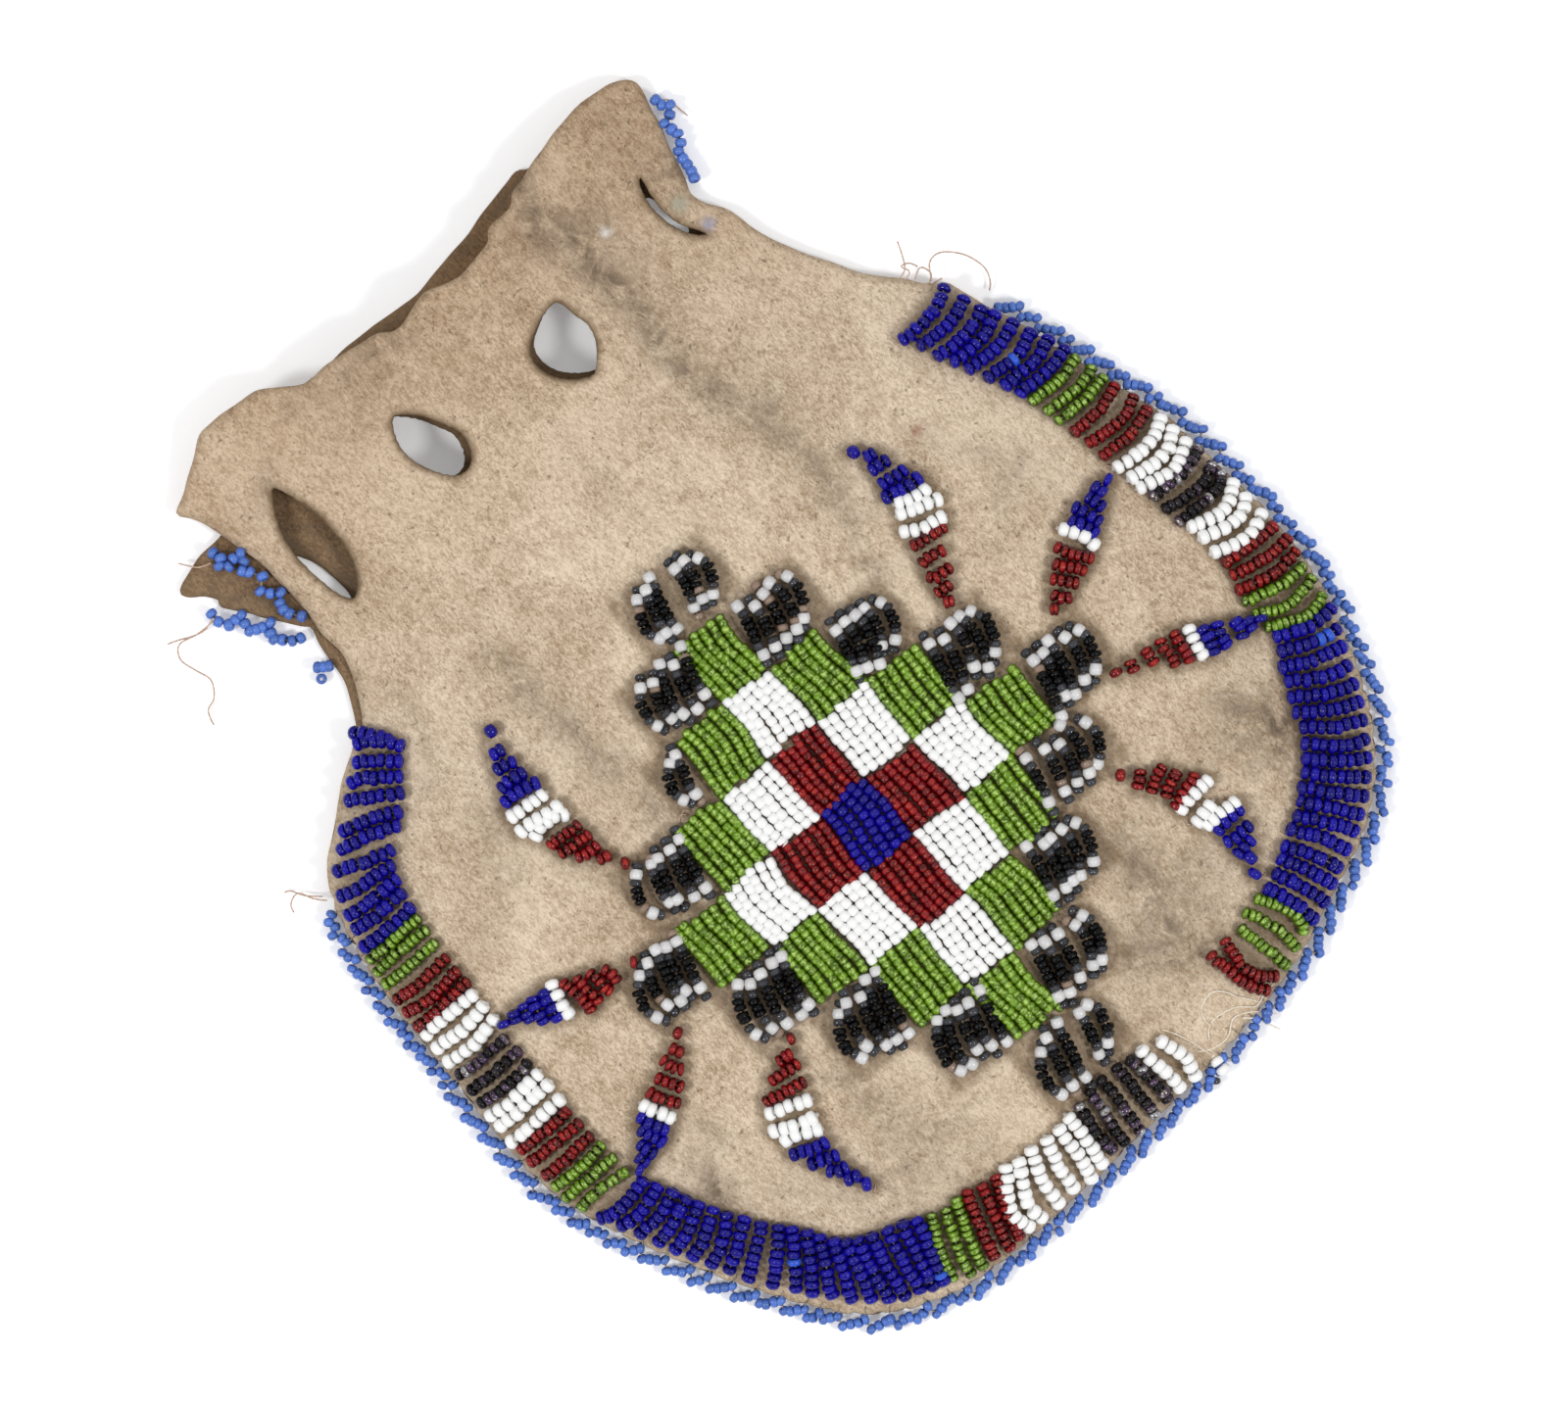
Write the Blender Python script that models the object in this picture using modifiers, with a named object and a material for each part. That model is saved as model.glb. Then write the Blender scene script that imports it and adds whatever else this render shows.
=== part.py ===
"""Beaded medicine bag: a flat two-panel hide pouch with lane-stitched glass beadwork.

The bag lies on its back. The origin is on the underside of the back panel, below the centre
of the beaded medallion; +X is to the right, +Y towards the mouth and +Z out of the beadwork.
"""

import math

import bmesh
import bpy
import numpy as np
from mathutils.bvhtree import BVHTree

# Driving dimensions, in metres.
BAG_WIDTH = 0.1669  # widest across the hide
MOUTH_REACH = 0.1240  # from the medallion's centre to the highest point of the mouth
FOOT_MARGIN = 0.01465  # from the medallion's foot to the bag's, with room for the rim
HIDE = 0.0012  # thickness of the tanned hide
SEAT = 0.0003  # clearance between pieces that lie on or beside each other
FULLNESS = 0.0080  # height of the hollow between the panels, in the middle of the bag
SHOULDER = 0.065  # distance from the seam at which the front reaches its full height
CHECK_WIDTH = 0.0103  # one colour check of the medallion, across its strands
CHECK_LENGTH = 0.0123  # one colour check, along its strands, which is one lane
LANE_DROP = 0.045  # fall of the lanes to the right, per unit of width
STRAND_PITCH = 0.00225  # strand to strand, in the petals and the rays
BEAD_HEIGHT = 0.0018  # height of a strand of beads above the hide
GROOVE_DEPTH = 0.0008  # depth of the groove between two strands
END_DROP = 0.0004  # how far a strand falls at its two ends, where the thread pulls it down
PETAL_BOW = 0.0018  # how far the outermost strand of a petal bows outwards
PETAL_TAPER = 0.0032  # how much shorter that strand is than the lane
RAY_WIDTH = 0.0094  # a ray at its widest
RAY_TIP = 0.0024  # a ray's first and last strand
EDGE_BEAD = 0.0019  # diameter of an edging bead
EDGE_ZIGZAG = 0.0007  # how far the edging swings to either side of its line
EDGE_PITCH = 0.0020  # from one swing of the edging to the next
PANEL_STEP = 0.0080  # facet size of the dished front
HEM = 0.0040  # how far past the seam the dish runs on before it is cut
RIM_PITCH = 0.0028  # strand to strand in the rim, halfway along the strands
CUTTER_MARGIN = 0.0150  # how far a cutter reaches past the fullness

# Counts that go with the sizes above.
LANE_REACH = 3  # checks from the medallion's centre to the end of its middle lane
STRANDS_PER_CHECK = 6
STRANDS_PER_PETAL = 5
WORN_PETALS = {(-2, 2): 2}  # strands left in a petal that has lost beads, by its grid place
RAY_RED_SHARE = 0.36
RAY_WHITE_SHARE = 0.62
STRANDS_PER_FACET = 2  # strands that share one facet of a block's underside

# Drawn points, in millimetres, clockwise, before they are fitted to the sizes above.
LEFT_NECK = (
    (-50.5, 73.0), (-48.4, 78.0), (-47.8, 85.0), (-47.5, 92.0), (-48.3, 101.0), (-50.5, 111.0),
    (-53.2, 116.5),
)
MOUTH = (
    (-50.0, 118.5), (-44.5, 121.5), (-40.0, 124.0), (-34.0, 123.5), (-28.0, 122.0), (-22.5, 118.5),
    (-12.0, 117.5), (-5.0, 115.2), (3.0, 116.4), (10.0, 115.0), (18.0, 117.8), (25.0, 119.8),
    (33.0, 121.8), (40.0, 123.6), (46.0, 123.7),
)
RIGHT_NECK = (
    (52.8, 120.5), (51.5, 114.0), (49.5, 106.5), (47.6, 100.3), (50.0, 95.0), (52.0, 88.0),
    (54.8, 81.5), (60.0, 72.0), (65.5, 65.3),
)
BODY = (
    (70.5, 60.5), (72.6, 54.0), (76.3, 43.5), (80.0, 31.0), (83.4, 19.5), (85.0, 5.0), (85.7, -5.0),
    (84.8, -18.5), (81.2, -30.5), (76.3, -41.8), (69.3, -50.4), (61.0, -56.2), (49.4, -60.8),
    (39.5, -64.4), (25.0, -67.2), (5.0, -68.9), (-14.0, -70.0), (-33.0, -70.0), (-44.6, -67.2),
    (-54.2, -61.8), (-61.9, -52.0), (-70.1, -38.0), (-76.9, -23.2), (-80.2, -13.5), (-81.2, -4.0),
    (-80.6, 16.0), (-79.7, 34.0), (-77.4, 46.5), (-73.8, 54.0), (-68.2, 58.8), (-62.0, 64.0),
    (-57.5, 68.0),
)
BACK_NECK = (
    (-52.0, 74.0), (-49.8, 80.0), (-49.0, 87.0), (-52.0, 91.5), (-55.0, 96.0), (-58.0, 101.0),
    (-61.0, 104.5), (-61.5, 106.3), (-58.0, 107.8), (-49.0, 109.4), (-45.5, 114.0), (-38.0, 118.0),
    (-29.0, 119.2), (-20.0, 118.8), (-10.0, 118.9), (0.0, 118.0), (10.0, 119.3), (20.0, 121.3),
    (28.0, 122.6), (35.0, 121.0), (44.0, 121.4), (49.5, 119.0), (49.8, 112.0), (48.0, 106.0),
    (46.6, 100.3), (49.0, 95.0), (51.0, 88.0), (53.8, 81.5), (59.0, 72.0), (64.8, 65.0),
)
LACING_HOLE = (
    (-14.7, 104.5), (-10.8, 101.0), (-8.2, 95.5), (-9.3, 90.4), (-12.0, 89.5), (-15.6, 93.0),
    (-17.5, 99.0),
)
LACING_HOLE_RIGHT = (
    (12.0, 99.7), (18.6, 101.0), (20.0, 95.0), (18.3, 90.3), (14.4, 87.8), (10.2, 91.3), (9.2, 96.5),
)
BACK_HOLE_SHIFT = ((-1.2, 1.0), (1.2, 0.8))  # the back panel's holes lie a little off the front's
SLIT = (
    (-38.0, 109.0), (-36.2, 104.0), (-35.2, 96.0), (-37.0, 88.5), (-40.0, 86.0), (-42.0, 92.0),
    (-42.4, 101.0), (-40.3, 106.5),
)
SLIT_RIGHT = (
    (42.3, 108.0), (43.0, 101.5), (45.6, 93.4), (43.0, 95.2), (41.0, 101.5), (41.0, 105.5),
)
MOUTH_SIDE = (62.0, 160.0)  # the seam's line runs on to here past the mouth, and to its mirror image

# The rim's colour blocks in two runs, clockwise, with the worn gap at the foot between them.
# Each is its colour, and strands read along it, from inner to outer end.
RIM_RUNS = (
    (
        ("cobalt", ((58.5, 58.0), (68.8, 59.8)), ((62.5, 49.5), (72.8, 50.5)), ((67.0, 38.5), (76.6, 39.3))),
        ("green", ((68.0, 36.0), (77.6, 36.8)), ((69.5, 30.8), (79.1, 31.3))),
        ("red", ((70.0, 27.9), (80.0, 28.4)), ((71.0, 21.9), (81.7, 22.6))),
        ("white", ((71.5, 19.0), (82.6, 19.6)), ((72.3, 13.5), (83.2, 14.0))),
        ("black", ((72.8, 10.8), (83.5, 11.5)), ((73.5, 5.1), (84.1, 5.8))),
        ("white", ((74.3, 2.5), (84.3, 3.0)), ((74.5, -3.2), (84.8, -3.2))),
        ("red", ((74.5, -5.8), (84.9, -6.2)), ((73.6, -10.8), (84.6, -11.8))),
        ("green", ((73.2, -13.2), (84.3, -14.6)), ((73.0, -18.2), (83.5, -20.0))),
        (
            "cobalt", ((72.8, -20.6), (82.7, -22.8)), ((69.5, -27.7), (78.8, -32.0)),
            ((66.0, -35.6), (74.0, -41.4)), ((59.5, -42.5), (66.3, -50.8)), ((53.3, -47.2), (58.2, -55.8)),
            ((43.8, -51.6), (46.6, -60.3)),
        ),
        ("green", ((41.2, -52.2), (43.6, -61.2)), ((36.3, -53.8), (38.2, -63.0))),
        ("red", ((33.6, -54.2), (35.2, -63.5)), ((30.6, -54.6), (31.8, -64.0))),
    ),
    (
        ("white", ((13.2, -58.8), (13.8, -66.7)), ((10.4, -58.5), (10.9, -67.1))),
        ("black", ((7.6, -58.3), (8.0, -67.4)), ((-4.0, -58.9), (-4.6, -68.0))),
        ("white", ((-6.7, -58.9), (-7.6, -68.3)), ((-19.9, -58.5), (-22.9, -68.6))),
        ("red", ((-22.4, -58.3), (-26.0, -68.6)), ((-27.6, -57.4), (-31.2, -68.0))),
        ("green", ((-30.0, -57.0), (-33.8, -67.2)), ((-34.8, -55.9), (-38.4, -66.2))),
        (
            "cobalt", ((-37.2, -54.9), (-41.0, -65.2)), ((-44.5, -52.0), (-48.7, -61.8)),
            ((-51.0, -46.5), (-57.0, -55.0)), ((-57.5, -38.5), (-64.8, -43.8)),
            ((-63.0, -29.0), (-71.5, -32.5)), ((-67.3, -19.7), (-76.6, -20.2)),
        ),
        ("green", ((-68.6, -16.9), (-77.6, -16.9)), ((-69.0, -11.0), (-79.1, -11.0))),
        ("red", ((-69.4, -8.3), (-79.6, -8.3)), ((-69.5, -3.0), (-80.1, -2.8))),
        ("white", ((-69.3, -0.4), (-80.1, -0.2)), ((-69.1, 5.2), (-79.9, 5.2))),
        ("black", ((-69.2, 7.9), (-79.7, 7.9)), ((-69.0, 13.6), (-79.5, 13.8))),
        ("white", ((-68.7, 16.5), (-79.4, 16.7)), ((-68.5, 22.2), (-79.1, 22.2))),
        ("red", ((-68.2, 24.9), (-78.9, 24.9)), ((-68.0, 30.3), (-78.6, 30.3))),
        ("green", ((-67.8, 33.0), (-78.3, 33.2)), ((-67.4, 38.0), (-77.6, 38.2))),
        (
            "cobalt", ((-67.0, 40.6), (-77.0, 40.9)), ((-65.5, 46.6), (-75.2, 48.4)),
            ((-61.8, 50.8), (-70.6, 54.4)), ((-56.3, 55.6), (-64.0, 60.3)), ((-50.6, 62.3), (-55.8, 67.6)),
        ),
    ),
)

# The notch between two petals that each ray starts from, as a place on the medallion's grid
# from its centre, and the outer tip that it runs to, in millimetres.
RAYS = {
    "ray_upper_left": ((-3.42, 1.68), (-38.5, 54.0)),
    "ray_upper_right": ((3.52, 1.68), (41.0, 50.0)),
    "ray_left_upper": ((-4.32, 0.62), (-66.6, 13.5)),
    "ray_left_lower": ((-4.50, -0.54), (-65.6, -16.0)),
    "ray_right_upper": ((4.66, 0.76), (67.6, 16.6)),
    "ray_right_lower": ((4.71, -0.43), (70.6, -15.0)),
    "ray_lower_left": ((-3.35, -1.62), (-41.5, -45.0)),
    "ray_lower_right": ((3.68, -1.66), (45.0, -47.0)),
}

# The short edging strings at the neck, as their own points in millimetres, and what they lie on.
NECK_STRINGS = {
    "edging_top_right": (
        "front",
        ((52.6, 116.2), (53.8, 114.2), (51.2, 112.4), (52.2, 109.6), (49.8, 107.3), (50.4, 104.8),
         (48.6, 102.2)),
    ),
    "edging_left_front": (
        "front",
        ((-52.6, 107.5), (-53.8, 105.4), (-51.4, 104.4), (-49.2, 104.2), (-50.8, 101.9), (-48.6, 99.4),
         (-50.6, 97.0), (-48.4, 95.0), (-50.0, 92.4), (-48.2, 89.6)),
    ),
    "edging_left_back": (
        "back",
        ((-58.3, 100.2), (-58.4, 97.6), (-55.7, 96.4), (-56.2, 94.0), (-52.9, 92.6), (-53.4, 90.0),
         (-50.6, 87.8)),
    ),
    "edging_loop": ("back", ((-53.2, 82.2), (-52.8, 79.8), (-51.0, 78.4), (-50.3, 80.6))),
}
EDGING_START = (74.6, 52.6)
EDGING_END = (-77.6, 49.2)

# Colours of the hide and of the glass, with roughness.
FINISHES = {
    "hide": ((0.56, 0.43, 0.29), 0.9),
    "hide_inside": ((0.48, 0.36, 0.24), 0.95),
    "cobalt": ((0.020, 0.014, 0.24), 0.15),
    "green": ((0.12, 0.22, 0.02), 0.15),
    "red": ((0.22, 0.005, 0.012), 0.15),
    "white": ((0.82, 0.81, 0.79), 0.25),
    "black": ((0.010, 0.010, 0.012), 0.12),
    "sky": ((0.06, 0.17, 0.62), 0.3),
}
RING_COLOURS = ("cobalt", "red", "white", "green", "black")


def fit(points):
    """Drawn points, in millimetres, as metres on this bag: its foot lies below the medallion's."""
    drawn = np.array(LEFT_NECK + MOUTH + RIGHT_NECK + BODY)
    width = np.ptp(drawn[:, 0])
    foot_reach = (LANE_REACH + 1.5) * CHECK_LENGTH + FOOT_MARGIN
    points = np.array(points, float)
    upper = MOUTH_REACH / drawn[:, 1].max()
    lower = foot_reach / -drawn[:, 1].min()
    scales = np.where(points[..., 1:] > 0.0, upper, lower)
    return points * np.concatenate([np.full_like(scales, BAG_WIDTH / width), scales], axis=-1)


def smooth(points, steps, closed):
    """A Catmull-Rom curve through the points, with the given number of steps from each to the next."""
    count = len(points)
    spans = count if closed else count - 1
    curve = []
    for span in range(spans):
        around = [span - 1, span, span + 1, span + 2]
        before, start, end, after = (
            points[i % count] if closed else points[min(max(i, 0), count - 1)] for i in around
        )
        for step in range(steps):
            t = step / steps
            curve.append(
                start
                + 0.5 * t * (end - before)
                + t * t * (before - 2.5 * start + 2.0 * end - 0.5 * after)
                + 0.5 * t**3 * (3.0 * (start - end) + after - before)
            )
    if not closed:
        curve.append(points[-1])
    return np.array(curve)


def along(path, pitch):
    """Points at an even pitch along a path, with both of its ends."""
    lengths = np.concatenate([[0.0], np.cumsum(np.linalg.norm(np.diff(path, axis=0), axis=1))])
    stations = np.linspace(0.0, lengths[-1], max(2, round(lengths[-1] / pitch) + 1))
    return np.stack([np.interp(stations, lengths, path[:, i]) for i in range(path.shape[1])], axis=1)


BODY_EDGE = smooth(fit(BODY), 2, closed=False)
FRONT_EDGE = np.concatenate([fit(LEFT_NECK), fit(MOUTH), fit(RIGHT_NECK), BODY_EDGE])
BACK_EDGE = np.concatenate([fit(BACK_NECK), BODY_EDGE])
PAST_MOUTH = fit((MOUTH_SIDE, (-MOUTH_SIDE[0], MOUTH_SIDE[1])))
SEAM = np.concatenate([PAST_MOUTH[:1], fit(RIGHT_NECK), BODY_EDGE, fit(LEFT_NECK), PAST_MOUTH[1:]])


def seam_distance(x, y):
    """Distance from the sewn edge, which leaves the mouth open: positive inside the bag."""
    runs = SEAM[1:] - SEAM[:-1]
    offsets = np.array((x, y)) - SEAM[:-1]
    shares = np.clip((offsets * runs).sum(axis=1) / (runs * runs).sum(axis=1), 0.0, 1.0)
    gaps = np.linalg.norm(offsets - shares[:, None] * runs, axis=1)
    near = gaps.argmin()
    side = offsets[near, 0] * runs[near, 1] - offsets[near, 1] * runs[near, 0]
    return math.copysign(gaps[near], side)


def dish(x, y):
    """Height of the front panel's inner face: it rises steeply at the seam and flattens inwards."""
    inside = max(seam_distance(x, y), -HEM)
    rise = min(inside / SHOULDER, 1.0)
    return HIDE + SEAT + FULLNESS * (1.0 - (1.0 - rise) ** 3)


def material(name):
    """The hide or the glass of that name, made once and shared by the pieces of it."""
    found = bpy.data.materials.get(name)
    if found:
        return found
    made = bpy.data.materials.new(name)
    made.use_nodes = True
    colour, roughness = FINISHES[name]
    shader = made.node_tree.nodes["Principled BSDF"]
    shader.inputs["Base Color"].default_value = (*colour, 1.0)
    shader.inputs["Roughness"].default_value = roughness
    shader.inputs["Metallic"].default_value = 0.0
    made.diffuse_color = (*colour, 1.0)
    return made


def new_object(name, data, collection, finishes=()):
    """An object of that name in the collection, with its materials in order."""
    made = bpy.data.objects.new(name, data)
    collection.objects.link(made)
    for finish in finishes:
        made.data.materials.append(material(finish))
    return made


def flat_outline(name, outlines, low, high, collection, finishes=()):
    """A sheet between two heights, with the first outline as its edge and the others as its holes."""
    curve = bpy.data.curves.new(name, "CURVE")
    curve.dimensions = "2D"
    curve.fill_mode = "BOTH"
    curve.extrude = (high - low) / 2
    for outline in outlines:
        spline = curve.splines.new("POLY")
        spline.points.add(len(outline) - 1)
        for point, (x, y) in zip(spline.points, outline):
            point.co = (x, y, 0.0, 1.0)
        spline.use_cyclic_u = True
    made = new_object(name, curve, collection, finishes)
    made.location.z = (low + high) / 2
    return made


def cutter(name, outline, cutters):
    """A hidden prism of that outline, taller than the bag, as a closed mesh that can cut."""
    tall = FULLNESS + CUTTER_MARGIN
    sheet = flat_outline(name, [outline], -tall, tall, cutters)
    bpy.context.view_layer.update()
    evaluated = sheet.evaluated_get(bpy.context.evaluated_depsgraph_get())
    mesh = bpy.data.meshes.new_from_object(evaluated)
    place = sheet.matrix_world.copy()
    bpy.data.objects.remove(sheet)
    shape = bmesh.new()
    shape.from_mesh(mesh)
    bmesh.ops.remove_doubles(shape, verts=shape.verts, dist=1e-6)
    bmesh.ops.recalc_face_normals(shape, faces=shape.faces)
    shape.to_mesh(mesh)
    shape.free()
    made = new_object(name, mesh, cutters)
    made.matrix_world = place
    made.hide_render = True
    made.display_type = "WIRE"
    return made


def cut(piece, tool, operation):
    """Leaves a Boolean with that tool on the piece."""
    boolean = piece.modifiers.new(tool.name, "BOOLEAN")
    boolean.operation = operation
    boolean.solver = "EXACT"
    boolean.object = tool


def front_holes():
    """The outlines of the two lacing holes and the two slits in the front panel."""
    return {
        "lacing_hole": smooth(fit(LACING_HOLE), 2, closed=True),
        "lacing_hole_right": smooth(fit(LACING_HOLE_RIGHT), 2, closed=True),
        "slit": fit(SLIT),
        "slit_right": fit(SLIT_RIGHT),
    }


def make_front_panel(collection, cutters):
    """The front panel: a dished sheet of hide, cut to the bag's edge, with its holes and slits.

    It gives back the sheet before it is cut, as a tree to find the height of its outer face in.
    """
    low = FRONT_EDGE.min(axis=0) - PANEL_STEP
    high = FRONT_EDGE.max(axis=0) + PANEL_STEP
    across, up = (round(size / PANEL_STEP) for size in high - low)
    shape = bmesh.new()
    bmesh.ops.create_grid(shape, x_segments=across, y_segments=up, size=0.5)
    for vert in shape.verts:
        x = low[0] + (vert.co.x + 0.5) * (high[0] - low[0])
        y = low[1] + (vert.co.y + 0.5) * (high[1] - low[1])
        vert.co = (x, y, dish(x, y))
    mesh = bpy.data.meshes.new("front_panel")
    shape.to_mesh(mesh)
    shape.free()
    panel = new_object("front_panel", mesh, collection, ["hide"])
    wall = panel.modifiers.new("hide thickness", "SOLIDIFY")
    wall.thickness = HIDE
    wall.offset = 1.0
    bpy.context.view_layer.update()
    sheet = BVHTree.FromObject(panel, bpy.context.evaluated_depsgraph_get())
    cut(panel, cutter("front_outline", FRONT_EDGE, cutters), "INTERSECT")
    for name, outline in front_holes().items():
        cut(panel, cutter(name + "_cutter", outline, cutters), "DIFFERENCE")
    return sheet


def top_of(sheet, x, y):
    """Height of the front panel's outer face at that place."""
    location, *_ = sheet.ray_cast((x, y, 1.0), (0.0, 0.0, -1.0))
    return location.z


def make_back_panel(collection):
    """The back panel: a flat sheet of hide with the same lacing holes and a corner that sticks out."""
    holes = [
        smooth(fit(hole) + fit(shift), 2, closed=True)
        for hole, shift in zip((LACING_HOLE, LACING_HOLE_RIGHT), BACK_HOLE_SHIFT)
    ]
    flat_outline("back_panel", [BACK_EDGE, *holes], 0.0, HIDE, collection, ["hide_inside"])


def straight_strand(inner, outer):
    """A strand of beads as its inner end, its middle and its outer end."""
    return [inner, (inner + outer) / 2, outer]


def borders_of(strands):
    """The groove lines on both sides of each strand of a run, halfway to the next strand."""
    inside = (strands[1:] + strands[:-1]) / 2
    first = 2 * strands[:1] - inside[:1]
    last = 2 * strands[-1:] - inside[-1:]
    return np.concatenate([first, inside, last])


def drawn_in(border, strand):
    """A block's outer groove line, moved in by half the clearance to the block beside it."""
    inward = strand - border
    return border + inward * (0.5 * SEAT / np.linalg.norm(inward, axis=1, keepdims=True))


def make_block(name, strands, borders, colours, sheet, collection):
    """One sewn block of strands on the hide: a ridge for each strand, and grooves between them."""
    columns = [drawn_in(borders[0], strands[0])]
    for strand, border in zip(strands, borders[1:]):
        columns += [strand, border]
    columns[-1] = drawn_in(borders[-1], strands[-1])
    across = len(columns) - 1
    ends = (0, strands.shape[1] - 1)
    kept = {*range(0, across, 2 * STRANDS_PER_FACET), across}
    finishes = list(dict.fromkeys(colours))

    shape = bmesh.new()
    column_of = shape.verts.layers.int.new("column")
    station_of = shape.verts.layers.int.new("station")
    bmesh.ops.create_grid(shape, x_segments=across, y_segments=ends[1], size=0.5)
    for vert in shape.verts:
        vert[column_of] = round((vert.co.x + 0.5) * across)
        vert[station_of] = round((vert.co.y + 0.5) * ends[1])
        x, y = columns[vert[column_of]][vert[station_of]]
        vert.co = (x, y, top_of(sheet, x, y) + SEAT)
    for face in shape.faces:
        strand = min(vert[column_of] for vert in face.verts) // 2
        face.material_index = finishes.index(colours[strand])
    floor = set(shape.verts)
    bmesh.ops.extrude_face_region(shape, geom=shape.faces[:], use_keep_orig=True)
    for vert in set(shape.verts) - floor:
        ridge = vert[column_of] % 2
        vert.co.z += BEAD_HEIGHT if ridge else BEAD_HEIGHT - GROOVE_DEPTH
        vert.co.z -= END_DROP if vert[station_of] in ends else 0.0

    merged = []
    for edge in shape.edges:
        first, second = edge.verts
        if first[column_of] != second[column_of] or first[column_of] in kept:
            continue
        on_floor = (first in floor) + (second in floor)
        if on_floor + (first[station_of] == second[station_of]) == 2:
            merged.append(edge)
    bmesh.ops.dissolve_edges(shape, edges=merged, use_verts=True)
    bmesh.ops.recalc_face_normals(shape, faces=shape.faces)
    mesh = bpy.data.meshes.new(name)
    shape.to_mesh(mesh)
    shape.free()
    new_object(name, mesh, collection, finishes)


def between(keys):
    """Strands at an even pitch, near RIM_PITCH, from the first to the last of the strands read."""
    ends = fit(keys)
    steps = np.linalg.norm(np.diff(ends, axis=0), axis=2).mean(axis=1)
    lengths = np.concatenate([[0.0], np.cumsum(steps)])
    count = round(lengths[-1] / RIM_PITCH) + 1
    stations = np.linspace(0.0, lengths[-1], count)
    flat = ends.reshape(len(keys), 4)
    spread = np.stack([np.interp(stations, lengths, flat[:, i]) for i in range(4)], axis=1)
    return [straight_strand(inner, outer) for inner, outer in spread.reshape(count, 2, 2)]


def make_rim(sheet, collection):
    """The striped lane that follows the seam, as one block for each colour."""
    number = 0
    for run in RIM_RUNS:
        blocks = [(colour, between(keys)) for colour, *keys in run]
        strands = np.array([strand for _, block in blocks for strand in block])
        borders = borders_of(strands)
        first = 0
        for colour, block in blocks:
            number += 1
            last = first + len(block)
            sides = borders[first : last + 1]
            colours = [colour] * len(block)
            make_block(f"rim_{number:02d}_{colour}", strands[first:last], sides, colours, sheet, collection)
            first = last


def lane_strand(x, row, bow, taper):
    """A strand that crosses a lane at x; a petal's outer strands bow outwards and are shorter."""
    middle = row * CHECK_LENGTH - LANE_DROP * x
    half = (CHECK_LENGTH - SEAT - taper) / 2
    return [(x, middle - half), (x + bow, middle), (x, middle + half)]


def petal(side, row, start, count):
    """The strands of a petal, from the one nearest the checks outwards."""
    strands = []
    for i in range(count):
        outward = (i / (STRANDS_PER_PETAL - 1)) ** 2
        x = side * (start + (i + 0.5) * STRAND_PITCH)
        strands.append(lane_strand(x, row, side * outward * PETAL_BOW, outward * PETAL_TAPER))
    return strands


def make_lane(number, row, sheet, collection):
    """One lane of the medallion: its colour checks, with a petal of black strands at each end."""
    reach = LANE_REACH - abs(row)
    strands, colours = [], []
    for column in range(-reach, reach + 1):
        for i in range(STRANDS_PER_CHECK):
            x = (column - 0.5 + (i + 0.5) / STRANDS_PER_CHECK) * CHECK_WIDTH
            strands.append(lane_strand(x, row, 0.0, 0.0))
            colours.append(RING_COLOURS[abs(column) + abs(row)])
    start = max(reach + 0.5, 0.0) * CHECK_WIDTH
    petals = []
    for side in (-1, 1):
        count = WORN_PETALS.get((side * (reach + 1), row), STRANDS_PER_PETAL)
        petals.append(petal(side, row, start, count))
    if reach < 0:
        petals = [half[: STRANDS_PER_PETAL - 1] for half in petals]
    strands = np.array(petals[0][::-1] + strands + petals[1])
    colours = [RING_COLOURS[-1]] * len(petals[0]) + colours + [RING_COLOURS[-1]] * len(petals[1])
    make_block(f"lane_{number}", strands, borders_of(strands), colours, sheet, collection)


def make_ray(name, notch, tip, sheet, collection):
    """A leaf-shaped ray of strands laid across it: red at the medallion, then white, then cobalt."""
    start = np.array((notch[0] * CHECK_WIDTH, notch[1] * CHECK_LENGTH - LANE_DROP * notch[0] * CHECK_WIDTH))
    end = fit(tip)
    length = np.linalg.norm(end - start)
    along_ray = (end - start) / length
    across_ray = np.array((-along_ray[1], along_ray[0]))
    count = round(length / STRAND_PITCH)
    strands, colours = [], []
    for i in range(count):
        share = (i + 0.5) / count
        half = 0.5 * (RAY_TIP + (RAY_WIDTH - RAY_TIP) * math.sin(math.pi * share))
        middle = start + share * length * along_ray
        strands.append(straight_strand(middle - half * across_ray, middle + half * across_ray))
        colours.append("red" if share < RAY_RED_SHARE else "white" if share < RAY_WHITE_SHARE else "cobalt")
    strands = np.array(strands)
    make_block(name, strands, borders_of(strands), colours, sheet, collection)


def make_string(name, points, collection):
    """A string of edging beads, as a tube through the points."""
    curve = bpy.data.curves.new(name, "CURVE")
    curve.dimensions = "3D"
    curve.bevel_depth = EDGE_BEAD / 2
    curve.bevel_resolution = 0
    curve.use_fill_caps = True
    spline = curve.splines.new("POLY")
    spline.points.add(len(points) - 1)
    for point, place in zip(spline.points, points):
        point.co = (*place, 1.0)
    new_object(name, curve, collection, ["sky"])


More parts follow.
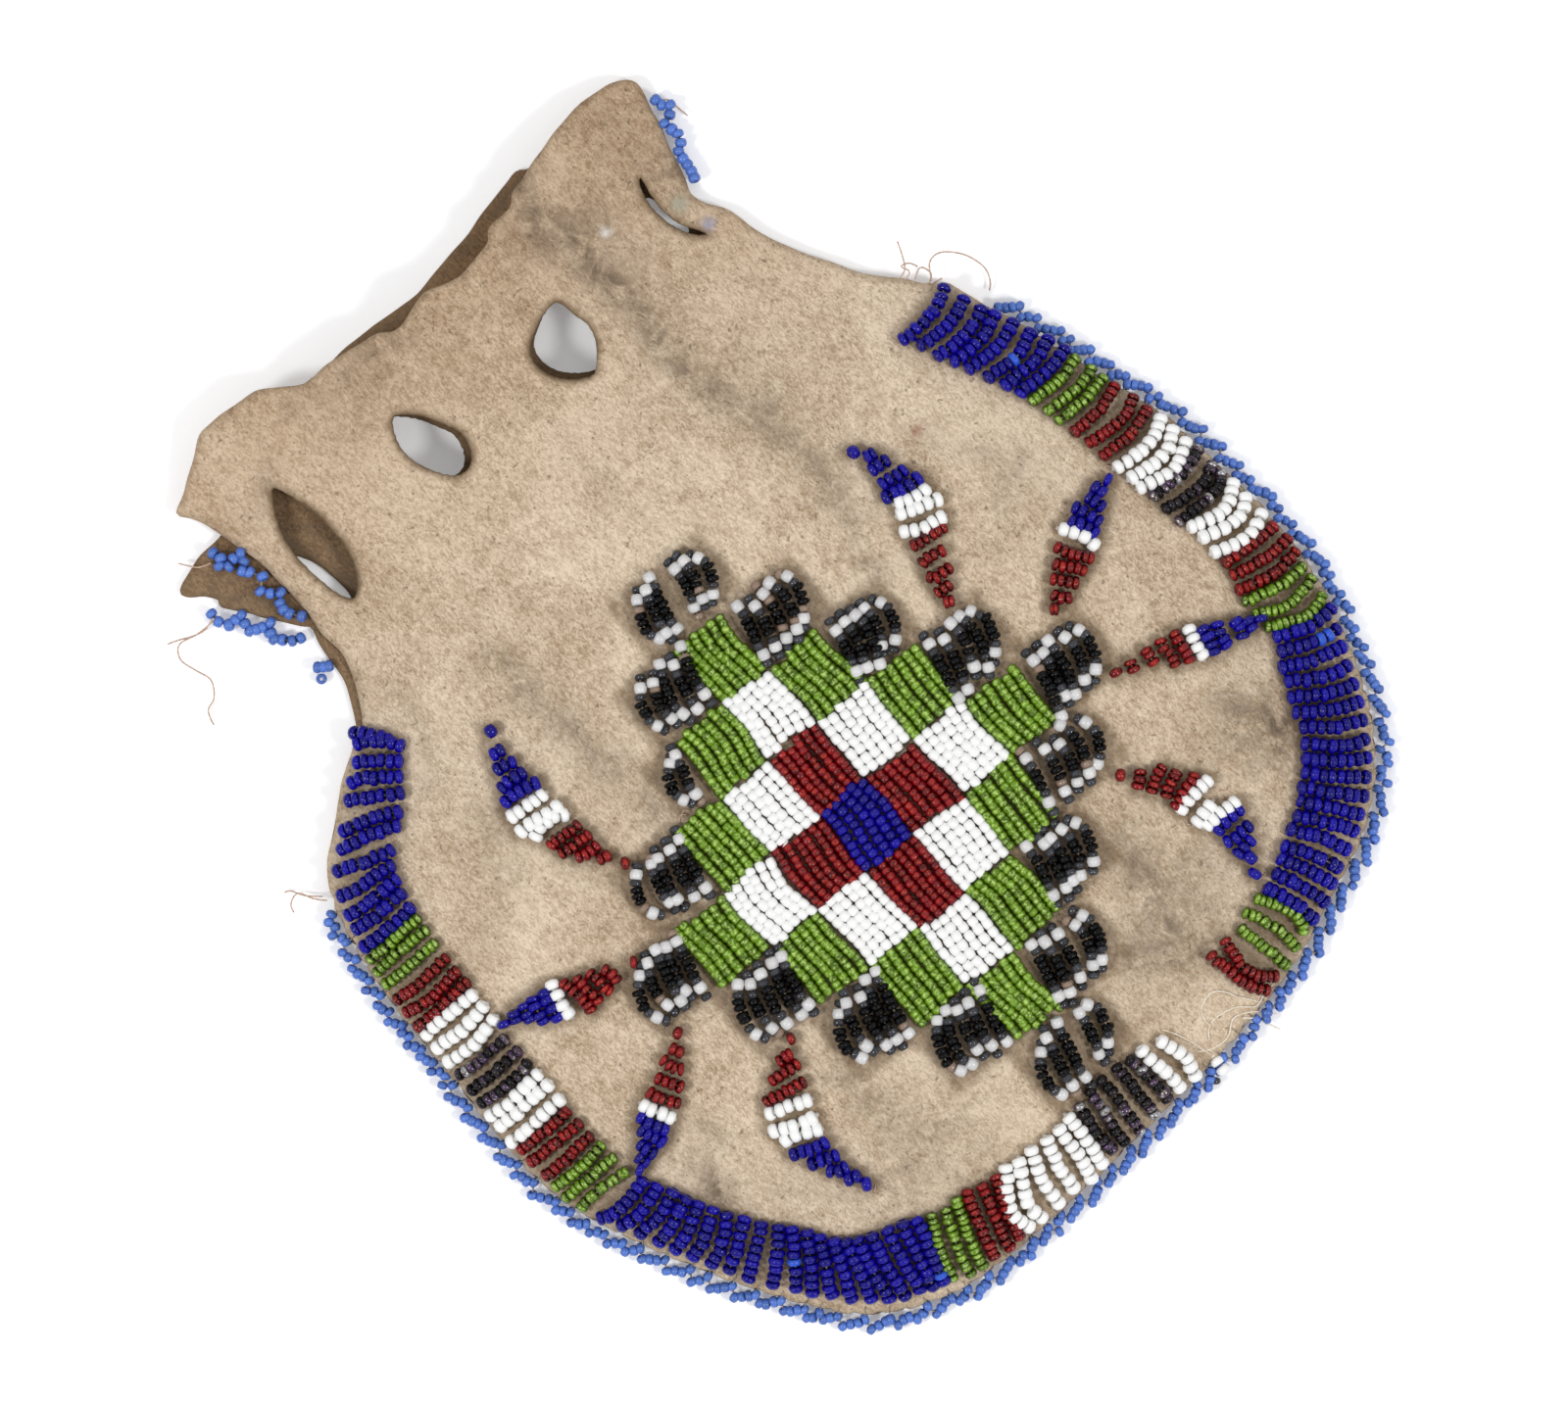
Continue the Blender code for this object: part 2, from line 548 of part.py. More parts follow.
def make_seam_edging(collection):
    """The long edging: it zigzags just outside the seam, from the right shoulder round to the left."""
    path = along(BODY_EDGE, EDGE_PITCH)
    first, last = (np.linalg.norm(path - fit(end), axis=1).argmin() for end in (EDGING_START, EDGING_END))
    points = []
    for i in range(first, last + 1):
        run = path[i + 1] - path[i - 1]
        outward = np.array((-run[1], run[0])) / np.linalg.norm(run)
        swing = EDGE_ZIGZAG if i % 2 else -EDGE_ZIGZAG
        x, y = path[i] + outward * (SEAT + EDGE_BEAD / 2 + EDGE_ZIGZAG + swing)
        points.append((x, y, HIDE + SEAT / 2))
    make_string("edging_seam", points, collection)


def make_neck_strings(sheet, collection):
    """The short strings at the neck's corners, each lying on the front or the back panel."""
    for name, (carrier, drawn) in NECK_STRINGS.items():
        points = []
        for x, y in along(smooth(fit(drawn), 3, closed=False), EDGE_PITCH):
            hide = max(top_of(sheet, x, y), 2 * HIDE + SEAT) if carrier == "front" else HIDE
            points.append((x, y, hide + SEAT + EDGE_BEAD / 2))
        make_string(name, points, collection)


def new_collection(name):
    """A collection of that name in the scene."""
    made = bpy.data.collections.new(name)
    bpy.context.scene.collection.children.link(made)
    return made


def main():
    """Clears the scene and makes the bag."""
    for thing in list(bpy.data.objects):
        bpy.data.objects.remove(thing)
    bag = new_collection("beaded_medicine_bag")
    cutters = new_collection("cutters")
    make_back_panel(bag)
    sheet = make_front_panel(bag, cutters)
    make_rim(sheet, bag)
    for number, row in enumerate(range(LANE_REACH + 1, -LANE_REACH - 2, -1), start=1):
        make_lane(number, row, sheet, bag)
    for name, (notch, tip) in RAYS.items():
        make_ray(name, notch, tip, sheet, bag)
    make_seam_edging(bag)
    make_neck_strings(sheet, bag)


if __name__ == "__main__":
    main()
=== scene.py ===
"""Looks of a beaded medicine bag: soft hide panels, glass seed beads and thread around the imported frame.

Drawn points are millimetres in the bag's own frame: +X to the right, +Y towards the mouth.
"""

import math

import bmesh
import bpy
import numpy as np
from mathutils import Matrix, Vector
from mathutils.geometry import delaunay_2d_cdt


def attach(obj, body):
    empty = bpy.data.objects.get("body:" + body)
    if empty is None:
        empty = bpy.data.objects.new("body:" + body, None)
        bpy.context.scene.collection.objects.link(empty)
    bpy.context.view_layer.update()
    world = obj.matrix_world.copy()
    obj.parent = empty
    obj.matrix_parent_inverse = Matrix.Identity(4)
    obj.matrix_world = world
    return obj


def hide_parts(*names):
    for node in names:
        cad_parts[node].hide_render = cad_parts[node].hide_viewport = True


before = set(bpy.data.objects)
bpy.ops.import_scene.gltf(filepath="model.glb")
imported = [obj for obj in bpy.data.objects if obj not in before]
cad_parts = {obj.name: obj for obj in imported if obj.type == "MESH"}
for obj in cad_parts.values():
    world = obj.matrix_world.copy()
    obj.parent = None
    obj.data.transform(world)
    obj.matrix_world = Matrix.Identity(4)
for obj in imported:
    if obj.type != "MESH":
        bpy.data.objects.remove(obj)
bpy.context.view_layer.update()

bl_info = {
    "name": "Beaded Medicine Bag",
    "version": (1, 0, 0),
    "blender": (4, 5, 0),
    "location": "3D View > Sidebar > Bag",
    "description": "Dresses the frame of a beaded medicine bag in hide, glass beads and thread",
    "category": "Object",
}

MM = 0.001

# How far the hide reaches past the seam, and the dips that the seam stitches pull into its cut edge.
HEM = 4.0
STITCH_PITCH = 4.2
STITCH_DIP = 0.45
SEAM_TOP = 52.0

# How far the hide's cut edge is rounded, sideways and up and down.
EDGE_ROUND = 0.12
EDGE_DROP = 0.11

# Dark wear of the hide: its strength at the holes and at the outer edge, and its width there; then how
# far the beads of a strand cover the hide, and the strength and width of the painted shade beside them.
HOLE_WEAR = 0.85
EDGE_WEAR = 0.3
WEAR_WIDTH = 0.75
BEAD_COVER = 0.7
BEAD_SHADE = 0.66
BEAD_SHADE_WIDTH = 0.8
# How much browner than the front the back's inner face is.
BACK_SMOKE = 0.35

# Threads, as half their thickness. The one in white strands stands for the pale light inside the glass.
WHITE_CORE = 0.5
LANE_THREAD = 0.17
EDGING_THREAD = 0.2
STITCH_THREAD = 0.13
LOOSE_THREAD = 0.14
SNAG_THREAD = 0.10

# The light and the camera, in metres and radians: the lamps' distance, each kind's height above the
# floor as an angle and its width, and how far the side lamps stand round from the key lamp.
LAMP_REACH = 1.25
KEY_RISE, KEY_SIZE = math.radians(54.0), 0.85
SIDE_RISE, SIDE_SIZE = math.radians(52.0), 0.25
SIDE_TURN = math.radians(112.0)
VIEW_CENTRE = (0.00336, 0.0255)
SENSOR = 36.0
FLOOR_WIDTH = 12.0
FLOOR_DROP = 0.0004

# The hide's cut edges, clockwise from the left of the neck.
LEFT_NECK = (
    (-56.2, 67.4), (-53.2, 68.8), (-50.2, 73.2), (-48.5, 77), (-47.8, 80.5), (-48, 85), (-47.5, 90),
    (-47.5, 95), (-48, 100), (-49, 105), (-50.5, 111), (-52, 114.5), (-53.2, 116.5),
)
MOUTH = (
    (-50.5, 118), (-47, 120), (-44.5, 121.5), (-41.5, 123.8), (-39, 124), (-35, 123.6), (-30, 123),
    (-28, 122), (-26, 120.5), (-22.5, 118.5), (-17, 118.2), (-12, 117.5), (-8, 116.8), (-5, 115),
    (0, 116), (3, 116.5), (6, 115.5), (10, 115), (16, 116), (18, 117.8), (23, 118), (25, 119.8),
    (28, 120.5), (33, 121.8), (37, 123), (42, 123.7), (46, 123.7), (50, 122.8),
)
RIGHT_NECK = (
    (52.8, 120.5), (51.8, 115), (50, 108.5), (48.5, 103), (47.5, 100.5), (48.2, 98), (50, 95),
    (51, 92), (52, 88), (54.5, 82), (56.5, 78.5), (60, 72), (62.5, 69), (65, 66), (67, 63.5),
)
BODY = (
    (70.5, 60.5), (72.6, 54), (76.3, 43.5), (80, 31), (83.4, 19.5), (85, 5), (85.7, -5), (84.8, -18.5),
    (81.2, -30.5), (76.3, -41.8), (69.3, -50.4), (61, -56.2), (49.4, -60.8), (39.5, -64.4),
    (25, -67.2), (5, -68.9), (-14, -70), (-33, -70), (-44.6, -67.2), (-54.2, -61.8), (-61.9, -52),
    (-70.1, -38), (-76.9, -23.2), (-80.2, -13.5), (-81.2, -4), (-80.6, 16), (-79.7, 34), (-77.4, 46.5),
    (-73.8, 54), (-68.2, 58.8), (-62, 64),
)
BACK_NECK = (
    (-54.5, 68.6), (-52, 73), (-50.2, 78), (-49.6, 84), (-48.8, 87), (-50, 88.5), (-52, 91.5),
    (-54, 94), (-55, 96), (-56.5, 98), (-58, 100), (-57.5, 101), (-59, 103), (-61, 104.5),
    (-61.5, 106.3), (-58, 107.8), (-55, 108.6), (-49, 109.2), (-45.5, 114), (-38, 118), (-29, 119.2),
    (-20, 118.8), (-10, 118.9), (0, 118), (5, 118.3), (10, 119.3), (15, 120), (20, 121.3), (25, 122),
    (28, 122.6), (31, 121.3), (44, 121.2), (49.5, 119), (49.8, 112), (48, 106), (46.6, 100.3),
    (49, 95), (51, 88), (53.8, 81.5), (59, 72), (64.8, 65),
)
LACING_HOLE = (
    (-14.7, 104.5), (-12.5, 103), (-10.5, 100.5), (-9, 97.5), (-8, 95), (-8.5, 92), (-10, 90),
    (-12, 89.5), (-14, 90.5), (-16, 93.5), (-17.3, 97), (-17.4, 100), (-16.3, 103),
)
LACING_HOLE_RIGHT = (
    (9, 96.5), (10, 98.3), (12.5, 99.8), (15, 100.8), (18.5, 101), (19.5, 97), (20, 95), (19.5, 92.5),
    (18.3, 90.5), (16.5, 88.5), (15.3, 87.7), (14, 88), (12, 89.3), (10, 91.5), (9, 94),
)
BACK_HOLE_SHIFT = ((-1.2, 1), (1.2, 0.8))
SLIT = (
    (-38, 109), (-39.5, 107.5), (-41, 105), (-42.3, 101.5), (-42.8, 98), (-42.5, 93), (-41.5, 88),
    (-40, 86), (-38.5, 86.7), (-37, 88.5), (-35.8, 91), (-35.1, 95), (-35.2, 100), (-36, 104),
    (-37, 107),
)
SLIT_RIGHT = (
    (42.5, 107.8), (41.5, 106), (41, 103), (41.2, 100), (42, 97), (43.3, 94.8), (45, 93.3), (45, 94),
    (43.8, 96), (42.8, 98), (42.2, 101), (42.3, 104), (43, 107.5),
)
BACK_SLIT = ((-43.6, 98.5), (-41.3, 95.5), (-40.3, 91), (-40.2, 86.8), (-42, 84.8), (-44, 91))
BACK_SLIT_RIGHT = ((40, 104), (42, 104.6), (42.8, 100), (43.6, 96.2), (41.6, 95.6), (40, 99))

# Folds of the front hide: half width, height above the hide (below if negative), darkening, and the line;
# only the dented folds are darkened.
FOLDS = (
    (2, -0.55, 0.75, ((27.5, 121), (25.8, 113), (26.6, 105), (28, 92), (27.2, 80), (29.8, 70))),
    (2.2, -0.50, 0.5, ((29.8, 70), (31.5, 66), (32.5, 60), (33, 55))),
    (3, 0.50, 0, ((31, 119), (31, 104), (33, 84), (35.5, 66), (37, 56))),
    (3, 0.35, 0, ((21.5, 116), (21, 106), (24, 84), (25, 66))),
    (1.8, -0.35, 0.6, ((33.5, 52), (31.5, 42), (29.5, 32))),
    (2.2, -0.40, 0.6, ((-28.5, 62), (-27.5, 50), (-26, 38), (-24.5, 24))),
    (2.6, 0.35, 0, ((-23, 60), (-22, 50), (-20.5, 40))),
    (2.4, 0.30, 0, ((-34, 60), (-33, 46), (-31, 36))),
    (2.2, -0.30, 0.6, ((60, -24), (63.5, -30), (66, -37))),
    (2, -0.25, 0.55, ((19, -44.5), (24, -48), (29, -51.5))),
    (2.2, -0.30, 0.5, ((30, -30), (29, -38), (26, -47))),
    (2, -0.30, 0.5, ((-55, -21), (-58, -27), (-60.5, -34))),
    (1.8, -0.25, 0.5, ((-31, -28), (-30, -36))),
    (1.3, -0.30, 0.35, ((-28, 117), (-24, 117.2), (-19, 115.5), (-12, 115.8), (-4, 113))),
    (1, -0.25, 0.3, ((-36, 112.5), (-38, 110.5), (-43, 107))),
    (1.2, -0.25, 0.15, ((5, 84), (5, 74), (6, 62))),
    (1, -0.22, 0.12, ((11, 70), (13, 63))),
    (1.4, -0.25, 0.25, ((-47, 76), (-45, 68), (-47.5, 60), (-51, 54))),
    (1.6, 0.35, 0, ((-44, 84), (-44.8, 92), (-45, 101), (-43, 108))),
    (1.6, -0.30, 0.35, ((44, 108), (47, 106), (49.5, 104.5))),
    (1.6, 0.30, 0, ((44.5, 104), (45.5, 100), (46.5, 96))),
    (1, -0.20, 0.08, ((-16, 60), (-8, 57.5), (2, 58.8), (12, 56.5))),
    (1.8, -0.25, 0.3, ((-60, 28), (-52, 34), (-46, 44))),
    (1.6, -0.22, 0.3, ((48, 22), (54, 28), (60, 30))),
    (1.6, -0.20, 0.25, ((-52, -36), (-44, -44), (-36, -48))),
    (1.6, -0.22, 0.3, ((50, 44), (54, 38), (57, 33))),
)
# Painted shade on the back where it shows, in its creases and under the front's edge: half width, darkness
# and the line.
BACK_SHADE_LINES = (
    (1.3, 0.75, ((-42.6, 103), (-42, 97), (-40, 90.5), (-38.5, 87.5))),
    (0.7, 0.60, ((-38.2, 101), (-37.6, 96), (-37.2, 91))),
    (1.2, 0.70, ((-58, 101), (-54, 98), (-50.5, 94), (-49, 89))),
    (0.8, 0.45, ((-60, 103.5), (-56, 103), (-52, 101))),
    (1, 0.60, ((-44, 119.5), (-36, 118), (-28, 119))),
    (0.9, 0.50, ((-14, 118), (-4, 117), (6, 117.6), (14, 118.4))),
    (1, 0.60, ((20, 119.6), (30, 121), (40, 120.4))),
    (0.8, 0.60, ((-50.4, 86), (-50.8, 80), (-52.6, 74))),
)
# Smudges that lie on no fold: radius, strength and place.
SMUDGES = (
    (5, 0.45, (31, 108)), (3.5, 0.4, (32.5, 64)), (6, 0.25, (48, 118)), (4, 0.5, (48, 106)),
    (7, 0.3, (-12, 112)), (5, 0.35, (22, 112)), (4, 0.35, (29, -20)), (5, 0.4, (62, -33)),
    (6, 0.3, (0, -54)), (5, 0.3, (-28, -45)), (3, 0.6, (-38.5, 108)), (4, 0.3, (-40, 26)),
    (4.5, 0.35, (24, -50)), (3.5, 0.35, (-59, -28)), (5, 0.1, (36, 74)), (4, 0.25, (52, -8)),
    (7, 0.25, (30, 100)), (11, 0.55, (33, -42)), (6, 0.2, (60, 26)), (7, 0.2, (-22, 108)),
    (14, 0.38, (-26, -50)), (10, 0.45, (58, -32)), (9, 0.3, (-60, -26)), (8, 0.25, (-40, 8)),
    (9, 0.3, (-46, 40)), (12, 0.25, (10, -56)),
)
# Tinted spots on the hide: radius, colour and place.
STAINS = (
    (1, (0.26, 0.09, 0.05), (50, 45)), (0.8, (0.92, 0.90, 0.86), (32.4, 104.5)),
    (1, (0.30, 0.34, 0.52), (46.5, 94.5)), (1.4, (0.36, 0.38, 0.30), (45, 100.2)),
)

# The medallion's grid of colour checks: its column and row lines, and each ring's colour.
COLUMN_LINES = (-36.4, -25.4, -15.4, -5, 5.1, 15.6, 26, 36.4)
ROW_LINES = (-43.4, -31, -18.2, -5.4, 6.9, 19.6, 31.6, 44)
ROW_DROP = 0.045
RINGS = (("cobalt", 5), ("red", 6), ("white", 6), ("green", 6))
PRESSED = {"cobalt": 1.06, "red": 1.2, "white": 1.12, "green": 1.28}

# Petals: the sides next to and away from the checks, the lower and upper ends, and the number of strands.
PETALS = (
    (-3.4, -16.8, 32.8, 44.6, 5), (-15.8, -21.4, 21, 32.2, 2), (-24.8, -37.6, 9.6, 22, 5),
    (-36.6, -48.2, -3.6, 9.4, 5), (-24.2, -37.6, -17, -4.2, 5), (-14.6, -27.6, -31, -17.6, 5),
    (-3.6, -16.6, -43.2, -30.6, 5), (5.4, 18.6, 31, 43.2, 5), (15.2, 27.6, 18.8, 31, 5),
    (25.6, 38.8, 5.8, 18.2, 5), (36.6, 49.6, -7.2, 5.2, 5), (25.4, 40.2, -19.2, -7, 5),
    (15.6, 27.8, -31.2, -18.8, 5), (5.4, 18.6, -44.6, -31.6, 5), (0.2, -7.6, 45, 56.4, 3),
    (1.8, 9.6, 44.8, 55.8, 3), (2.2, -6.4, -57.2, -44.2, 3), (4.2, 10, -56.2, -44.4, 2),
)

# How far the strands of a petal lean sideways for each millimetre towards the foot.
PETAL_LEAN = -0.22

# Rays: each colour's strands from the medallion outwards, as both ends of each strand.
RAYS = {
    "upper_left": (
        ("red", (
            (-35.2, 23, -34, 22.2), (-38, 25.8, -35.4, 25), (-40.5, 28.4, -35.8, 27.6),
            (-42, 30.6, -35.6, 30), (-42.6, 33, -36, 32.2),
        )),
        ("white", ((-43.6, 35.4, -36.4, 34.8), (-45, 38, -36.2, 37), (-44.6, 40.8, -36.8, 40))),
        ("cobalt", (
            (-43.8, 43.2, -36.4, 42.2), (-42.6, 45.4, -37, 44.8), (-41.2, 48.2, -37, 47.6),
            (-40, 51, -37.2, 50.6), (-38.2, 54, -36.2, 53.8),
        )),
    ),
    "upper_right": (
        ("red", (
            (34, 20, 36, 19.4), (34.2, 22.4, 37.4, 21.8), (34.6, 25.2, 39.2, 24.4),
            (35.4, 27.8, 40.4, 27), (36.2, 30.8, 43.2, 29.6),
        )),
        ("white", ((36.6, 34, 44.2, 31.2), (37.8, 36.4, 45.6, 34), (38.8, 38.2, 45.2, 36.4))),
        ("cobalt", (
            (38, 40.2, 45.2, 38.8), (39, 42.4, 44.2, 41.4), (39.2, 45.2, 43.2, 44.8),
            (40, 47.2, 42.2, 46.8), (38.6, 49.6, 40.4, 49.4),
        )),
    ),
    "left_upper": (
        ("red", (
            (-45, 9.2, -44, 8.6), (-49, 11.6, -48.6, 7.8), (-51.2, 12.6, -50.8, 7.4),
            (-53.8, 13.6, -53.2, 7.4), (-55.8, 14.6, -55, 7),
        )),
        ("white", ((-57, 15.6, -58.4, 8.6),)),
        ("cobalt", (
            (-59.2, 15.8, -60.4, 9.6), (-61.2, 15.8, -62.2, 10.8), (-63.2, 16, -64, 12.4),
            (-65.2, 16.2, -66, 13.8), (-67.2, 15.8, -67.8, 14.6),
        )),
    ),
    "left_lower": (
        ("red", (
            (-46.8, -4, -46.2, -5.4), (-49.2, -5.8, -48, -8.2), (-51.6, -6.4, -50, -10.2),
            (-54.4, -8, -52, -12.4), (-57, -9, -54.2, -14.4),
        )),
        ("white", ((-59.2, -9.6, -56.6, -15.6),)),
        ("cobalt", (
            (-60.8, -11, -58.6, -16.6), (-62.4, -12.6, -60.6, -17.6), (-64, -14.4, -62.8, -18),
            (-65.6, -16.2, -64.8, -18.4), (-66.8, -17.6, -66.2, -18.8),
        )),
    ),
    "right_upper": (
        ("red", (
            (47.1, 8, 48.4, 6.8), (49, 9.7, 51.2, 6.9), (50.4, 11.6, 53.6, 7.9),
            (52.3, 13.4, 56.1, 8.5), (54.6, 15.3, 58.4, 9.3),
        )),
        ("white", ((57, 17.2, 60, 10.4),)),
        ("cobalt", (
            (59.2, 17.2, 61.4, 12), (61.6, 18.4, 63.2, 13), (64, 18.2, 65, 14.6), (66.4, 19, 67, 16),
            (68.6, 18.2, 69, 17),
        )),
    ),
    "right_lower": (
        ("red", (
            (48.4, -6.8, 48.2, -8.2), (51.6, -7.4, 51, -9.6), (54.6, -7.4, 54.2, -10.8),
            (57.4, -8, 56.8, -13.4), (60.4, -8.4, 59.2, -14.6),
        )),
        ("white", ((62.6, -9.4, 61, -15.6),)),
        ("cobalt", (
            (64.4, -10.8, 62.8, -16.2), (66.8, -12, 65.6, -16.8), (69.2, -13.4, 68.2, -17.2),
            (71.2, -14.8, 70.4, -17.6), (73, -16, 72.4, -17.2),
        )),
    ),
    "lower_left": (
        ("red", (
            (-33.6, -17.6, -32.4, -18.2), (-37.4, -19.4, -34.2, -19.8), (-40.6, -21.2, -34.6, -22),
            (-43.4, -23.2, -35.8, -25),
        )),
        ("white", ((-44.6, -25.2, -37, -28), (-46, -27.6, -38, -30.6), (-45.6, -30, -39, -33))),
        ("cobalt", (
            (-46, -32.8, -39.4, -35.2), (-44.6, -36, -39.6, -38), (-43.2, -39, -39.6, -40.6),
            (-41.8, -41.8, -38.8, -42.8), (-40.2, -44.4, -38.8, -45.4),
        )),
    ),
    "lower_right": (
        ("red", (
            (37.2, -20.2, 38.2, -21.4), (38, -24.4, 40.8, -22.2), (39.4, -26.4, 44.2, -24.2),
            (40.8, -28.8, 45.6, -26.6), (40.6, -31, 47.6, -29),
        )),
        ("white", ((41, -32.2, 48.8, -31.2), (41.6, -35.4, 46.6, -34.4), (42.4, -36.8, 50, -37.2))),
        ("cobalt", (
            (43.4, -38.8, 49.6, -38.6), (43.4, -41.4, 49, -41.4), (43.4, -43.8, 47.6, -43.4),
            (44.2, -46, 46.2, -45.6), (43, -48.4, 44.6, -48),
        )),
    ),
}

# Rim blocks, clockwise from the right of the neck: colour, then both ends of each strand, inner first.
RIM = (
    ("cobalt", (
        (58.5, 58.2, 69.6, 60.4), (60, 55.6, 70.8, 56.8), (61, 52.4, 72, 53.6), (62.5, 49.8, 73, 51.4),
        (63.6, 47.2, 74.6, 48.4), (65, 44.2, 75.8, 45.4), (66.2, 41.4, 77.2, 42.4),
        (67.2, 38.6, 78.2, 39.4),
    )),
    ("green", ((68, 36.2, 78.4, 37), (68.7, 33.4, 79.3, 33.9), (69.5, 30.8, 79.8, 31.4))),
    ("red", ((70, 27.8, 80.4, 29), (70.5, 24.6, 81.4, 25.6), (71, 21.6, 82, 22.6))),
    ("white", ((71.5, 18.6, 82.8, 20), (72, 15.6, 82.9, 17.4), (72.3, 13.5, 83.3, 14.4))),
    ("black", ((72.8, 10.8, 83.8, 12), (73, 7.8, 83.9, 8.2), (73.5, 4.8, 84.2, 6.4))),
    ("white", ((74.3, 2.8, 84.9, 3.8), (74.5, 0.2, 85, 0.8), (74.3, -3, 84.9, -3.4))),
    ("red", ((74.5, -5.6, 85.2, -6.4), (74.5, -8, 85.4, -9.4), (73.5, -10.6, 85, -12))),
    ("green", ((73, -12.8, 84.2, -14.6), (73, -15.6, 84, -17.2), (73.2, -18.4, 83.6, -20.4))),
    ("cobalt", (
        (73, -20.6, 83.4, -23.4), (71.8, -23, 81.8, -26.5), (70.2, -25.2, 80.6, -29.4),
        (69.5, -27.6, 79.1, -32.4), (68.3, -29.9, 77.2, -35), (67.3, -32.4, 76.1, -37.9),
        (66.3, -35, 74.6, -40.8), (64.8, -37.4, 72.7, -43.3), (63, -39.3, 71, -45.8),
        (61.4, -41.1, 68.6, -48.2), (59.6, -42.7, 66.5, -50.6), (57.8, -44.3, 63.6, -52.3),
        (55.7, -45.8, 61.6, -54.3), (53.4, -47, 58.4, -55.8), (50.9, -48.2, 55.4, -57.3),
        (48.9, -49.5, 52.9, -58.8), (46.6, -50.8, 49.9, -60.2), (43.9, -51.6, 46.5, -61.2),
    )),
    ("green", ((41.4, -52, 43.6, -61), (38.6, -52.6, 41, -62), (36.1, -54, 38, -63.8))),
    ("red", ((33, -54, 35.4, -63.4), (29.6, -54.2, 32.6, -64.6))),
    ("white", ((13.4, -59.4, 13.8, -68), (10, -58.5, 10.6, -68))),
    ("black", (
        (7.5, -58.3, 8, -67.8), (5, -58, 4.7, -68.2), (1.8, -58, 1, -68.6), (-1, -58, -2.2, -68.7),
        (-4, -58.8, -4.5, -68.4),
    )),
    ("white", (
        (-6.7, -58.8, -7.5, -69.2), (-9.2, -59.4, -10.5, -69.8), (-11.8, -59.3, -13.8, -69),
        (-14.8, -59, -17.2, -69.3), (-17.4, -59, -20.8, -69.3), (-20, -58.5, -23.3, -69),
    )),
    ("red", ((-22.4, -58.5, -26, -69.2), (-25.1, -58.2, -28.6, -69), (-27.7, -57.2, -31.2, -68.2))),
    ("green", ((-30, -57, -33.6, -67.6), (-32.4, -57.2, -36.1, -67.2), (-34.8, -56.4, -38.6, -65.8))),
    ("cobalt", (
        (-37, -55.2, -40.2, -65.4), (-39.4, -54.2, -42.2, -64.8), (-41.8, -53.2, -44.2, -63.8),
        (-44.4, -52.2, -46.6, -62.9), (-46.8, -51.2, -49.2, -61.6), (-48.6, -50.2, -51.4, -59.6),
        (-50, -48.6, -53.8, -57.4), (-51.4, -46.6, -56, -54.8), (-52.6, -44.6, -58, -52.4),
        (-54, -42.6, -59.6, -49.8), (-55.6, -40.8, -62.2, -47), (-57.4, -38.4, -64.5, -43.6),
        (-58.8, -35.9, -65.8, -40.4), (-60.8, -33.6, -67.6, -37.8), (-62, -31.4, -69.4, -34.9),
        (-63.1, -29, -71.1, -32.2), (-64.2, -26.9, -72.6, -29.2), (-65.2, -24.6, -74.1, -26.2),
        (-66.3, -22.1, -75.6, -23.3), (-67.6, -19.7, -77.6, -19.9),
    )),
    ("green", ((-69, -16.8, -78.6, -16.6), (-69, -13.8, -79.4, -13.6), (-69.2, -10.8, -79.6, -10.8))),
    ("red", ((-69.5, -8.4, -79.8, -8.5), (-69.5, -5.6, -80, -5.4), (-69.6, -2.8, -80, -2.6))),
    ("white", ((-69.2, -0.2, -80.4, -0.4), (-69, 2.8, -80.4, 2.6), (-69.2, 5.4, -80.2, 5.3))),
    ("black", ((-69.4, 7.7, -79.8, 7.8), (-69.3, 10.5, -79.6, 10.6), (-69.4, 13.5, -79.5, 13.8))),
    ("white", ((-68.6, 17, -79.6, 16.9), (-68.5, 19.8, -79.6, 19.7), (-68.6, 22.5, -79.4, 22.7))),
    ("red", ((-68.2, 24.9, -79.7, 24.7), (-68, 27.5, -79.4, 27.6), (-68.2, 30.2, -79, 30.4))),
    ("green", ((-67.8, 33.3, -78.6, 33.5), (-67.6, 35.9, -78.4, 36.1), (-67.4, 38.3, -77.8, 38.4))),
    ("cobalt", (
        (-67, 40.4, -77.2, 40.8), (-66.5, 43.2, -76.6, 43.8), (-65.8, 45.6, -75.8, 46.5),
        (-64.8, 48, -74.4, 49.8), (-63.2, 49.9, -72, 53.2), (-59.6, 52.2, -69, 55.2),
        (-58, 54, -66.6, 57.4), (-55.6, 56.1, -63.2, 60.8), (-54, 58.2, -60.8, 62.8),
        (-52.3, 60.2, -58.2, 65), (-50.4, 62.2, -56, 67.4), (-51.2, 64.2, -55.4, 69),
    )),
)
# How far a rim strand's beads reach past the drawn inner end, and the bare hide left beyond its outer end.
RIM_REACH = 0.8
RIM_MARGIN = 1.0
# How far the first and the last strand of each rim block bow sideways, to the left of their run.
RIM_BOWS = (
    (-1, -1.1), (-0.8, -0.5), (-0.6, -0.9), (-1.3, -1.9), (-1.4, -1.5), (-1.7, -1.5), (-0.6, -0.9),
    (-0.9, -1.9), (-1, 0.5), (1.7, 0.5), (-2.2, -1.4), (1.4, 0.8), (0.4, -0.3), (0.3, -1.6),
    (-0.6, -0.4), (-0.3, -0.5), (-0.2, 0.7), (0.2, 0.5), (0.3, 0.2), (0.3, 0.7), (0.2, 0.5),
    (0.7, 0.4), (0.3, 0.6), (0.4, 0.2), (0.4, -0.7),
)
